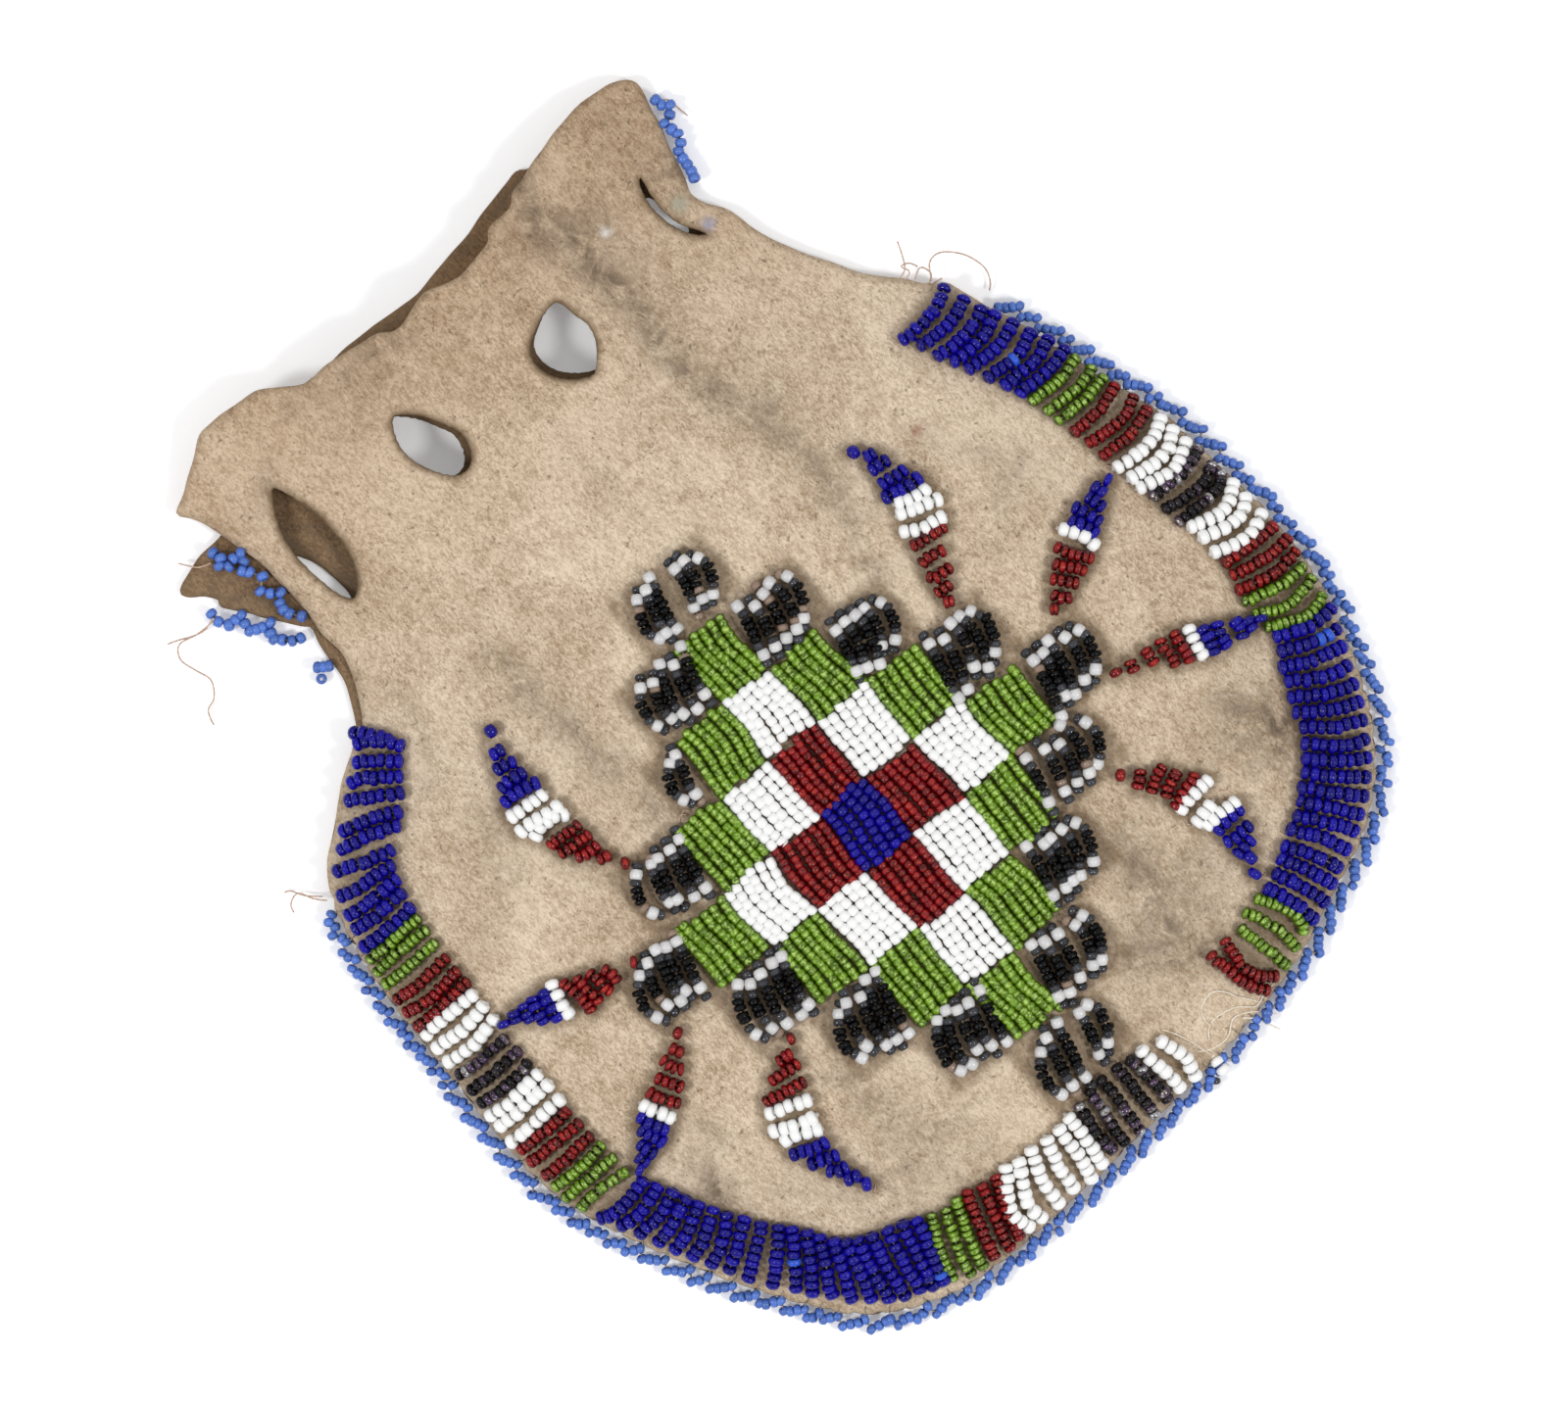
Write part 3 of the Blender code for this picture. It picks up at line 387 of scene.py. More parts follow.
# Beads of a brighter blue that were strung among the cobalt ones, by place.
ODD_BLUES = ((-40.7, -64), (70.3, 44), (79, -26.2), (80, -25.6), (71.6, -27.6), (-58, -46.6))

# How near to such a place a bead is brighter, and the share of clear beads with a warm tint.
ODD_REACH = 0.95
ODD_CLEAR = 0.07

# Edging: where the long run starts and ends on the seam, and the short strings at the neck, bead by bead.
EDGING_ENDS = ((74.6, 52.6), (-77.6, 49.2))
# How far each bead of the zigzag lies outwards of its middle, in turn.
EDGING_SWING = (-0.75, -0.15, 0.35, 0.8)
# How far the zigzag's middle lies outside the edge, where its first bead sits and the step to the next,
# how often a bead takes the next place of the zigzag, and how far inside the edge the stitches enter.
EDGING_OUT = 1.6
EDGING_START = 0.6
EDGING_STEP = 1.08
EDGING_REGULAR = 0.85
STITCH_REACH = 1.5
EDGING_TOP_RIGHT = (
    (53.5, 116.3), (53.7, 115), (54.8, 114), (53.7, 112.8), (52, 112.3), (52.3, 110.7), (52.6, 109.5),
    (52, 108), (50.8, 107.2), (50.5, 105.8), (50.4, 104.5), (50.2, 103.2), (49.8, 102),
)
EDGING_LEFT_FRONT = (
    (-53, 107.5), (-52.6, 106), (-53.6, 105.2), (-52.5, 104), (-51, 104.5), (-49.5, 104.4), (-50, 103),
    (-51.3, 102), (-50.5, 101), (-49.3, 99), (-51.2, 97.4), (-50.2, 96), (-48.8, 95), (-50, 93.8),
    (-50.3, 92.5), (-50, 91.3), (-48.7, 89.6),
)
EDGING_LEFT_BACK = (
    (-60, 100), (-60, 98.2), (-59, 96.6), (-57.6, 96.5), (-56.3, 96.5), (-56.8, 95), (-57, 93.6),
    (-56, 93), (-55, 92.6), (-53.5, 92.3), (-54.6, 91), (-54.8, 89.8), (-53.8, 88.8), (-52.7, 87.6),
    (-51.3, 87),
)
EDGING_LOOP = ((-52.4, 81.4), (-51.6, 80.8), (-50.8, 80.3))
FLAT_BEAD = (-53.2, 79.5)
HANGING_WHITE = ((18.5, -66.2), (18.5, -70.8))
HANGING_WHITE_COUNT = 3
HANGING_CLEAR = (16.2, -70.8)

# Loose threads: height above the floor at the start and the end, and the line.
THREADS = (
    (2.2, 0.4, ((-60.3, 99.2), (-62.5, 98.6), (-65, 99.2), (-67, 100.2), (-69, 101))),
    (2, 0.3, (
        (-60.3, 98.8), (-64, 98.9), (-67.5, 99.6), (-69, 97.5), (-68.2, 94.4), (-67.4, 91.6),
        (-69, 89), (-71, 88.2), (-71.8, 86.6), (-72, 85.6),
    )),
    (3, 1.6, ((-54.4, 106.4), (-56.4, 107.2), (-57.6, 108.6), (-58.6, 110))),
    (4.2, 2.6, ((64.6, 66.4), (66.4, 67), (67.6, 69), (68.6, 71.4))),
    (3.8, 3.2, ((65.2, 65.6), (66.8, 66.2), (66.2, 67.8), (67.6, 67.4), (68.4, 66))),
    (3.4, 2.4, ((66.6, 64.6), (68.6, 65.6), (69.4, 63.6), (68, 62.4), (70.2, 61.8))),
    (3.4, 0.8, (
        (68.6, 62.6), (70.4, 65.2), (73, 65.2), (75.8, 62.2), (76.9, 58.6), (76.2, 56.2), (75, 55),
    )),
    (1.6, 1, ((-77, 50.6), (-78.6, 52.4), (-80, 54.8), (-82, 54.2), (-82.6, 52.8))),
    (1.6, 0.8, ((-77.2, 51.6), (-79.4, 53.8), (-80.6, 55.8), (-81.6, 56.4))),
    (2.4, 0.6, ((54, 115.6), (55.2, 114.8), (55.6, 112.6), (55.9, 110.8))),
    (2.6, 2.2, ((15, -58), (16.4, -60.4), (17.4, -63.2), (18.4, -66.4))),
    (2.4, 1.8, (
        (20, -64.6), (20.8, -63.4), (22.4, -62.6), (24.8, -62.8), (27.2, -63.6), (29.6, -65.6),
        (32, -65), (35, -64.6),
    )),
    (2.6, 2, (
        (21.6, -63), (21.6, -61), (22.8, -59.4), (25.4, -58.8), (27.2, -60.2), (28.2, -62.2),
        (29.6, -64), (30.6, -65.6),
    )),
    (2.4, 1.2, ((17, -64.8), (19.4, -66.2), (22.6, -66.4), (25.4, -64.6), (28.6, -66), (31.4, -69))),
    (1.8, 0.6, ((26.6, -65.6), (28.6, -67.6), (29.4, -69.6), (30.2, -71.4))),
)
# Torn ends of thread that lie on the hide.
SNAGS = (
    ((-24, 33.4), (-23, 34.2), (-22.2, 33.6)), ((-22.6, 22), (-21.4, 22.6), (-20.6, 21.8)),
    ((-23.4, 21.4), (-22.4, 22.4), (-21.4, 21.6)), ((-38.4, -46), (-39.4, -47), (-38.8, -48)),
    ((48.6, -33.8), (49.8, -34.8), (50.4, -34.2)), ((43.8, -49), (44.8, -49.8), (45.8, -49.4)),
    ((41.8, -33.4), (40.8, -34.4), (41.4, -35.2)), ((70, 20), (70.8, 19), (71.4, 19.4)),
)


def size_setting(name, description, default):
    """A size in metres that a user can change."""
    return bpy.props.FloatProperty(
        name=name, description=description, default=default, min=0.0, unit="LENGTH"
    )


def colour_setting(name, description, default):
    """A colour that a user can change."""
    return bpy.props.FloatVectorProperty(
        name=name, description=description, default=default, size=3, subtype="COLOR", min=0.0, max=1.0
    )


def level_setting(name, description, default, most=1.0):
    """A plain number that a user can change."""
    return bpy.props.FloatProperty(name=name, description=description, default=default, min=0.0, max=most)


class HideSettings(bpy.types.PropertyGroup):
    """Sizes and colours of the tanned hide."""

    thickness: size_setting("Thickness", "Thickness of the hide", 0.0012)
    seat: size_setting("Clearance", "Gap between the two panels at the seam", 0.0003)
    fullness: size_setting("Fullness", "Height of the hollow between the panels", 0.0080)
    shoulder: size_setting("Shoulder", "How far from the seam the front is at its full height", 0.065)
    pitch: size_setting("Mesh pitch", "Distance between the points of the hide's mesh", 0.00105)
    light: colour_setting("Light", "Clean suede of the body", (0.79, 0.65, 0.49))
    tan: colour_setting("Tan", "Darker mottling of the suede", (0.375, 0.265, 0.165))
    smoked: colour_setting("Smoked", "Browner suede at the neck", (0.52, 0.345, 0.195))
    # The colour of the soiling, of the darker dented folds of the front, and of the painted shade in the
    # back's creases.
    dirt_and_shade: colour_setting("Dirt and shade", "Handling dirt on folds and round the beadwork", (0.155, 0.114, 0.078))
    inside: colour_setting("Inside", "Inner face of the back panel", (0.40, 0.285, 0.175))
    inside_dark: colour_setting("Inside, dark", "Darker mottling of the inner face", (0.15, 0.10, 0.06))


class BeadSettings(bpy.types.PropertyGroup):
    """Colours and diameters of the glass seed beads."""

    cobalt: colour_setting("Cobalt", "Opaque cobalt glass", (0.006, 0.002, 0.325))
    green: colour_setting("Green", "Translucent leaf green glass", (0.17, 0.33, 0.008))
    red: colour_setting("Red", "Translucent ruby glass", (0.235, 0.001, 0.006))
    white: colour_setting("White", "Opaque white glass", (0.95, 0.95, 0.94))
    black: colour_setting("Black", "Opaque black glass", (0.002, 0.002, 0.003))
    sky: colour_setting("Light blue", "Satin light blue glass of the edging", (0.095, 0.21, 0.66))
    pearl: colour_setting("Pearl", "Milky glass of the petals", (0.80, 0.79, 0.79))
    clear: colour_setting("Clear", "Clear grey glass of the petals", (0.09, 0.093, 0.112))
    cobalt_size: size_setting("Cobalt size", "Diameter of a cobalt bead", 0.00262)
    green_size: size_setting("Green size", "Diameter of a green bead", 0.00222)
    red_size: size_setting("Red size", "Diameter of a red bead", 0.00238)
    white_size: size_setting("White size", "Diameter of a white bead", 0.00262)
    black_size: size_setting("Black size", "Diameter of a black bead", 0.00232)
    sky_size: size_setting("Light blue size", "Diameter of an edging bead", 0.00192)
    pearl_size: size_setting("Pearl size", "Diameter of a pearl bead", 0.00228)
    clear_size: size_setting("Clear size", "Diameter of a clear bead", 0.00205)


class StageSettings(bpy.types.PropertyGroup):
    """Camera and light."""

    width: size_setting("View width", "Width of the photograph at the bag", 0.264)
    distance: size_setting("Camera distance", "Camera above the bag", 1.3)
    turn: bpy.props.FloatProperty(
        name="Camera turn", description="Turn of the camera about the view", default=math.radians(-41.0),
        subtype="ANGLE",
    )
    key: level_setting("Key light", "Level of the broad light on a level surface", 0.08, 4.0)
    side: level_setting("Side lights", "Level of each of the two lights at the sides", 0.265, 4.0)
    sky: level_setting("Sky light", "Level of the even light", 0.47, 4.0)
    floor: level_setting("Floor", "Level that the white floor keeps in full shade", 0.18)


def smooth(points, steps=4, closed=False):
    """A Catmull-Rom curve through the points, with the given number of steps from each to the next."""
    points = np.array(points, float)
    count = len(points)
    index = np.arange(count if closed else count - 1)
    around = [index + shift for shift in (-1, 0, 1, 2)]
    around = [i % count if closed else np.clip(i, 0, count - 1) for i in around]
    before, start, end, after = (points[i][:, None] for i in around)
    t = (np.arange(steps) / steps)[None, :, None]
    curve = start + 0.5 * t * (end - before) + t**2 * (before - 2.5 * start + 2.0 * end - 0.5 * after)
    curve = (curve + 0.5 * t**3 * (3.0 * (start - end) + after - before)).reshape(-1, points.shape[1])
    return curve if closed else np.vstack([curve, points[-1]])


def stations(path):
    """How far along the path each of its points lies."""
    return np.concatenate([[0.0], np.cumsum(np.linalg.norm(np.diff(path, axis=0), axis=1))])


def evenly(path, pitch, closed=False):
    """Points at an even pitch along a path."""
    if closed:
        path = np.vstack([path, path[:1]])
    lengths = stations(path)
    places = np.linspace(0.0, lengths[-1], max(2, round(lengths[-1] / pitch) + 1))
    found = np.stack([np.interp(places, lengths, path[:, i]) for i in range(path.shape[1])], axis=1)
    return found[:-1] if closed else found


def distance(points, path):
    """Distance from each point to the path, and which side of it the point lies on."""
    nearest = np.full(len(points), np.inf)
    side = np.ones(len(points))
    for start, end in zip(path[:-1], path[1:]):
        run = end - start
        offset = points - start
        share = np.clip(offset @ run / (run @ run), 0.0, 1.0)
        gap = ((offset - share[:, None] * run) ** 2).sum(axis=1)
        nearer = gap < nearest
        nearest[nearer] = gap[nearer]
        side[nearer] = (offset[:, 0] * run[1] - offset[:, 1] * run[0])[nearer]
    return np.sqrt(nearest), np.sign(side)


def inside(points, outline):
    """Which of the points lie inside the closed outline."""
    found = np.zeros(len(points), bool)
    x, y = points.T
    for (x1, y1), (x2, y2) in zip(outline, np.roll(outline, -1, axis=0)):
        if y1 == y2:
            continue
        crosses = (y1 > y) != (y2 > y)
        found ^= crosses & (x < (x2 - x1) * (y - y1) / (y2 - y1) + x1)
    return found


BODY_EDGE = smooth(BODY)
SEAM = np.vstack([(62.0, 160.0), RIGHT_NECK, BODY_EDGE, LEFT_NECK, (-62.0, 160.0)])
WAVES = np.random.default_rng(3).uniform(size=(14, 4))


def seam_distance(points):
    """Distance from the sewn edge: positive inside the bag."""
    gap, side = distance(points, SEAM)
    return gap * side


def underside(points):
    """Height of the front panel's inner face at each point, without its folds, and its steepness."""
    hide = bpy.context.scene.bag_hide
    shoulder = hide.shoulder / MM
    fullness = hide.fullness / MM
    rise = np.clip(seam_distance(points) / shoulder, -HEM / shoulder, 1.0)
    height = (hide.thickness + hide.seat) / MM + fullness * (1.0 - (1.0 - rise) ** 3)
    return height, 3.0 * fullness / shoulder * (1.0 - rise) ** 2


def relief(points):
    """What the folds and the soft unevenness of the hide add to the front's height."""
    loose = np.clip(seam_distance(points) / 9.0, 0.0, 1.0)
    height = np.zeros(len(points))
    for angle, phase, size, level in WAVES:
        wave = 2.0 * math.pi / (11.0 + 34.0 * size**1.5)
        across = points[:, 0] * math.cos(math.pi * angle) + points[:, 1] * math.sin(math.pi * angle)
        height += 0.010 / wave * (0.5 + level) * np.sin(wave * across + 20.0 * phase) * 0.45
    for width, rise, _, line in FOLDS:
        gap, _ = distance(points, smooth(line))
        height += rise * np.exp(-((gap / width) ** 2))
    return height * loose


def hide_top(points):
    """Height of the front panel's outer face at each point."""
    points = np.atleast_2d(points)
    height, slope = underside(points)
    return height + bpy.context.scene.bag_hide.thickness / MM * np.hypot(1.0, slope) + relief(points)


def new_mesh(name, points, faces, attributes=()):
    """A smooth-shaded mesh from points in millimetres, with values stored on its points."""
    mesh = bpy.data.meshes.new(name)
    mesh.from_pydata((np.asarray(points) * MM).tolist(), [], faces)
    mesh.polygons.foreach_set("use_smooth", np.ones(len(mesh.polygons), bool))
    for key, values in attributes:
        kind, field = ("FLOAT", "value") if np.ndim(values) == 1 else ("FLOAT_COLOR", "color")
        stored = mesh.attributes.new(key, kind, "POINT")
        stored.data.foreach_set(field, np.ravel(values).astype(np.float32))
    return mesh


def new_piece(name, mesh, material, nodes=()):
    """Puts a finished mesh in the scene as a piece of the bag, in place of the frame's nodes."""
    piece = bpy.data.objects.new(name, mesh)
    bpy.context.scene.collection.objects.link(piece)
    piece.data.materials.append(material)
    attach(piece, "root")
    if nodes:
        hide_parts(*nodes)
    return piece


def quads(rings, sides):
    """Faces between rings of points that follow each other, each ring closed on itself."""
    found = []
    for ring in range(rings - 1):
        here = ring * sides
        there = here + sides
        for side in range(sides):
            turn = (side + 1) % sides
            found.append((here + side, here + turn, there + turn, there + side))
    return found


def tube(path, radius, sides=6):
    """Points and faces of a closed thread along a path in space."""
    path = np.asarray(path, float)
    ahead = np.gradient(path, axis=0)
    ahead /= np.linalg.norm(ahead, axis=1)[:, None]
    across = np.cross(ahead, (0.0, 0.0, 1.0))
    across /= np.maximum(np.linalg.norm(across, axis=1), 1e-6)[:, None]
    above = np.cross(across, ahead)
    turns = np.arange(sides) * 2.0 * math.pi / sides
    rings = path[:, None] + radius * (
        np.cos(turns)[None, :, None] * across[:, None] + np.sin(turns)[None, :, None] * above[:, None]
    )
    faces = [face[::-1] for face in quads(len(path), sides)]
    faces.append(tuple(range(sides)))
    faces.append(tuple(reversed(range((len(path) - 1) * sides, len(path) * sides))))
    return rings.reshape(-1, 3), faces


def join(parts):
    """Several sets of points and faces as one."""
    points = []
    faces = []
    first = 0
    for some_points, some_faces in parts:
        points.append(some_points)
        faces += [tuple(i + first for i in face) for face in some_faces]
        first += len(some_points)
    return np.vstack(points), faces


def node_tree(name):
    """A material, its node tree and its Principled shader."""
    material = bpy.data.materials.new(name)
    material.use_nodes = True
    return material, material.node_tree, material.node_tree.nodes["Principled BSDF"]


def set_inputs(node, values):
    """Sets a node's inputs, given by name."""
    for socket, value in values.items():
        node.inputs[socket].default_value = value


def new_group(name, inputs, outputs):
    """An empty node group with these sockets, as names and socket types."""
    group = bpy.data.node_groups.new(name, "ShaderNodeTree")
    for way, sockets in (("INPUT", inputs), ("OUTPUT", outputs)):
        for socket, kind in sockets:
            group.interface.new_socket(name=socket, in_out=way, socket_type=kind)
    return group, group.nodes.new("NodeGroupInput"), group.nodes.new("NodeGroupOutput")


def place_group(tree, group):
    """A node that uses the group."""
    node = tree.nodes.new("ShaderNodeGroup")
    node.node_tree = group
    return node


def attribute(tree, name):
    """A node that reads a value stored on the mesh."""
    node = tree.nodes.new("ShaderNodeAttribute")
    node.attribute_name = name
    return node


def object_place(tree):
    """Where a point lies on its piece."""
    return tree.nodes.new("ShaderNodeTexCoord").outputs["Object"]


def bump(tree, shader, height, strength, depth):
    """Lets a height roughen the shader's surface."""
    node = tree.nodes.new("ShaderNodeBump")
    set_inputs(node, {"Strength": strength, "Distance": depth})
    tree.links.new(height, node.inputs["Height"])
    tree.links.new(node.outputs["Normal"], shader.inputs["Normal"])


def noise(tree, vector, scale, detail=2.0, roughness=0.5, distortion=0.0):
    """A noise texture's factor, at so many waves a metre."""
    node = tree.nodes.new("ShaderNodeTexNoise")
    set_inputs(node, {"Scale": scale, "Detail": detail, "Roughness": roughness, "Distortion": distortion})
    tree.links.new(vector, node.inputs["Vector"])
    return node.outputs["Fac"]


def ranged(tree, value, low, high, to_low=0.0, to_high=1.0):
    """The value spread from one range to another and kept inside it."""
    node = tree.nodes.new("ShaderNodeMapRange")
    set_inputs(node, {"From Min": low, "From Max": high, "To Min": to_low, "To Max": to_high})
    tree.links.new(value, node.inputs["Value"])
    return node.outputs["Result"]


def maths(tree, operation, first, second):
    """The result of a sum on two values, of which the second may be a number."""
    node = tree.nodes.new("ShaderNodeMath")
    node.operation = operation
    tree.links.new(first, node.inputs[0])
    if isinstance(second, (int, float)):
        node.inputs[1].default_value = second
    else:
        tree.links.new(second, node.inputs[1])
    return node.outputs["Value"]


def blended(tree, share, first, second, mode="MIX"):
    """One colour laid over another by a share; each may be a socket or a fixed colour."""
    node = tree.nodes.new("ShaderNodeMix")
    node.data_type = "RGBA"
    node.blend_type = mode
    if isinstance(share, (int, float)):
        node.inputs["Factor"].default_value = share
    else:
        tree.links.new(share, node.inputs["Factor"])
    for socket, value in ((node.inputs[6], first), (node.inputs[7], second)):
        if isinstance(value, bpy.types.NodeSocket):
            tree.links.new(value, socket)
        else:
            socket.default_value = (*value[:3], 1.0)
    return node.outputs[2]


TONE_OUTPUTS = (("Color", "NodeSocketColor"), ("Height", "NodeSocketFloat"))


def suede_group():
    """The look of tanned suede: a streaky nap of short fibres, soft mottling and dark specks."""
    group = bpy.data.node_groups.get("suede")
    if group:
        return group
    colours = [(name, "NodeSocketColor") for name in ("Clean", "Tan", "Fleck")]
    tree, start, end = new_group("suede", colours, TONE_OUTPUTS)
    place = object_place(tree)
    stretch = tree.nodes.new("ShaderNodeMapping")
    set_inputs(stretch, {"Rotation": (0.0, 0.0, 0.7), "Scale": (1.0, 0.5, 1.0)})
    tree.links.new(place, stretch.inputs["Vector"])
    nap = stretch.outputs["Vector"]
    fibres = noise(tree, nap, 2500.0, 3.0, 0.7, 0.9)
    tufts = noise(tree, nap, 760.0, 3.0, 0.64, 1.0)
    patches = noise(tree, place, 170.0, 3.0, 0.62, 1.2)
    clouds = noise(tree, place, 46.0, 2.0, 0.55, 0.6)
    specks = noise(tree, place, 1000.0, 2.0, 0.5)
    layers = (
        (clouds, 0.37, 0.65, 0.34), (patches, 0.36, 0.66, 0.26),
        (tufts, 0.38, 0.63, 0.30), (fibres, 0.42, 0.59, 0.60),
    )
    shade = None
    for layer, low, high, weight in layers:
        part = ranged(tree, layer, low, high, 0.0, weight)
        shade = part if shade is None else maths(tree, "ADD", shade, part)
    shade = ranged(tree, shade, 0.28, 1.32)
    base = blended(tree, shade, start.outputs["Clean"], start.outputs["Tan"])
    flecked = ranged(tree, specks, 0.64, 0.74, 0.0, 0.6)
    tree.links.new(blended(tree, flecked, base, start.outputs["Fleck"]), end.inputs["Color"])
    rough = maths(tree, "MULTIPLY", fibres, 0.6)
    rough = maths(tree, "ADD", rough, maths(tree, "MULTIPLY", tufts, 0.7))
    tree.links.new(rough, end.inputs["Height"])
    return tree


def suede(name, clean, tan):
    """Tanned hide, darkened by what its mesh says of smoke, soiling, dented folds, wear, stains, and painted
    shade.
    """
    hide = bpy.context.scene.bag_hide
    material, tree, shader = node_tree(name)
    group = place_group(tree, suede_group())
    fleck = [c * 0.35 for c in tan]
    set_inputs(group, {"Clean": (*clean, 1.0), "Tan": (*tan, 1.0), "Fleck": (*fleck, 1.0)})
    broken = noise(tree, object_place(tree), 210.0, 4.0, 0.7, 0.9)
    colour = group.outputs["Color"]
    smoke = attribute(tree, "smoke").outputs["Fac"]
    smoke = maths(tree, "MULTIPLY", smoke, ranged(tree, broken, 0.3, 0.7, 0.75, 1.2))
    browner = blended(tree, 0.6, colour, hide.smoked, "MULTIPLY")
    colour = blended(tree, smoke, colour, browner)
    # Soiling and darker dented folds on the front; painted shade in the back's creases and under the front's
    # edge.
    dirt_and_shade = attribute(tree, "dirt_and_shade").outputs["Fac"]
    dirt_and_shade = maths(tree, "MULTIPLY", dirt_and_shade, ranged(tree, broken, 0.36, 0.62, 0.3, 1.4))
    colour = blended(tree, dirt_and_shade, colour, hide.dirt_and_shade)
    # Wear at the cut edges and holes, and painted shade beside the beadwork, both in a dark brown.
    wear_and_bead_shade = attribute(tree, "wear_and_bead_shade").outputs["Fac"]
    wear_and_bead_shade = maths(tree, "MULTIPLY", wear_and_bead_shade, ranged(tree, broken, 0.34, 0.62, 0.7, 1.15))
    colour = blended(tree, wear_and_bead_shade, colour, [c * 0.38 for c in hide.smoked])
    stain = attribute(tree, "stain")
    colour = blended(tree, stain.outputs["Alpha"], colour, stain.outputs["Color"])
    tree.links.new(colour, shader.inputs["Base Color"])
    set_inputs(shader, {"Roughness": 0.95, "Specular IOR Level": 0.1})
    bump(tree, shader, group.outputs["Height"], 0.65, 0.0004)
    return material


def bead_tone_group():
    """A bead's own tone, darker or lighter, with painted shade on its sides and painted glints on its top.
    """
    group = bpy.data.node_groups.get("bead_tone")
    if group:
        return group
    inputs = [(name, "NodeSocketColor") for name in ("Glass", "Deep", "Odd", "Painted glint")]
    inputs += [(name, "NodeSocketFloat") for name in ("Painted glints", "Painted side shade")]
    tree, start, end = new_group("bead_tone", inputs, TONE_OUTPUTS)
    place = object_place(tree)
    tone = attribute(tree, "tone").outputs["Fac"]
    cloud = noise(tree, place, 1300.0, 1.0)
    share = maths(tree, "ADD", tone, ranged(tree, cloud, 0.3, 0.7, -0.18, 0.18))
    share = ranged(tree, share, 0.0, 1.0)
    colour = blended(tree, share, start.outputs["Deep"], start.outputs["Glass"])
    # Painted shade: the lower sides of each bead are darker.
    high = attribute(tree, "high").outputs["Fac"]
    sides = ranged(tree, high, 0.2, 0.9, 1.0, 0.0)
    sides = maths(tree, "MULTIPLY", sides, start.outputs["Painted side shade"])
    shaded_sides = blended(tree, 0.7, colour, start.outputs["Deep"], "MULTIPLY")
    colour = blended(tree, sides, colour, shaded_sides)
    # Painted glints: bright spots on each bead's top.
    spots = ranged(tree, noise(tree, place, 1900.0, 1.0, 0.5, 0.6), 0.44, 0.60)
    spots = maths(tree, "MULTIPLY", spots, ranged(tree, high, 0.62, 0.95))
    spots = maths(tree, "MULTIPLY", spots, start.outputs["Painted glints"])
    colour = blended(tree, spots, colour, start.outputs["Painted glint"])
    odd = ranged(tree, tone, 1.4, 1.6)
    tree.links.new(blended(tree, odd, colour, start.outputs["Odd"]), end.inputs["Color"])
    tree.links.new(noise(tree, place, 2600.0, 1.0), end.inputs["Height"])
    return tree


def glass(
    name, colour, deep, odd=None, rough=0.14, clear=0.0, gloss=0.4, painted_glint=(1.0, 1.0, 1.0), painted_glints=0.0,
    sides=0.0,
):
    """Seed bead glass of one colour; clear is how much light it lets through, sides how much painted shade
    darkens its sides, and the glint colour and share give the painted glints on its top.
    """
    material, tree, shader = node_tree(name)
    group = place_group(tree, bead_tone_group())
    for socket, tint in (("Glass", colour), ("Deep", deep), ("Odd", odd or colour), ("Painted glint", painted_glint)):
        group.inputs[socket].default_value = (*tint, 1.0)
    set_inputs(group, {"Painted glints": painted_glints, "Painted side shade": sides})
    tree.links.new(group.outputs["Color"], shader.inputs["Base Color"])
    set_inputs(shader, {
        "Roughness": rough, "IOR": 1.5, "Specular IOR Level": gloss, "Transmission Weight": clear,
    })
    bump(tree, shader, group.outputs["Height"], 0.1, 0.00015)
    return material


def iris_glass():
    """Black glass with a metallic lustre that runs from silver to violet and gold."""
    material, tree, shader = node_tree("iris_glass")
    drift = noise(tree, object_place(tree), 800.0, 1.0)
    tone = attribute(tree, "tone").outputs["Fac"]
    share = maths(tree, "ADD", tone, ranged(tree, drift, 0.3, 0.7, -0.3, 0.3))
    ramp = tree.nodes.new("ShaderNodeValToRGB")
    ramp.color_ramp.elements[0].color = (0.012, 0.011, 0.012, 1.0)
    ramp.color_ramp.elements[1].color = (0.42, 0.42, 0.44, 1.0)
    tints = (
        (0.35, (0.022, 0.018, 0.022)), (0.55, (0.05, 0.042, 0.045)), (0.72, (0.13, 0.075, 0.17)),
        (0.84, (0.10, 0.08, 0.06)), (0.92, (0.24, 0.21, 0.19)),
    )
    for at, tint in tints:
        ramp.color_ramp.elements.new(at).color = (*tint, 1.0)
    tree.links.new(share, ramp.inputs["Fac"])
    tree.links.new(ramp.outputs["Color"], shader.inputs["Base Color"])
    set_inputs(shader, {"Metallic": 0.6, "Specular IOR Level": 0.4, "Roughness": 0.24})
    return material


def thread_look(name, pale, dark):
    """Waxed thread: a fine twist of paler and darker fibres."""
    material, tree, shader = node_tree(name)
    twist = noise(tree, object_place(tree), 2200.0, 2.0, 0.6)
    colour = blended(tree, ranged(tree, twist, 0.35, 0.65), pale, dark)
    tree.links.new(colour, shader.inputs["Base Color"])
    set_inputs(shader, {"Roughness": 0.7})
    bump(tree, shader, twist, 0.4, 0.0001)
    return material


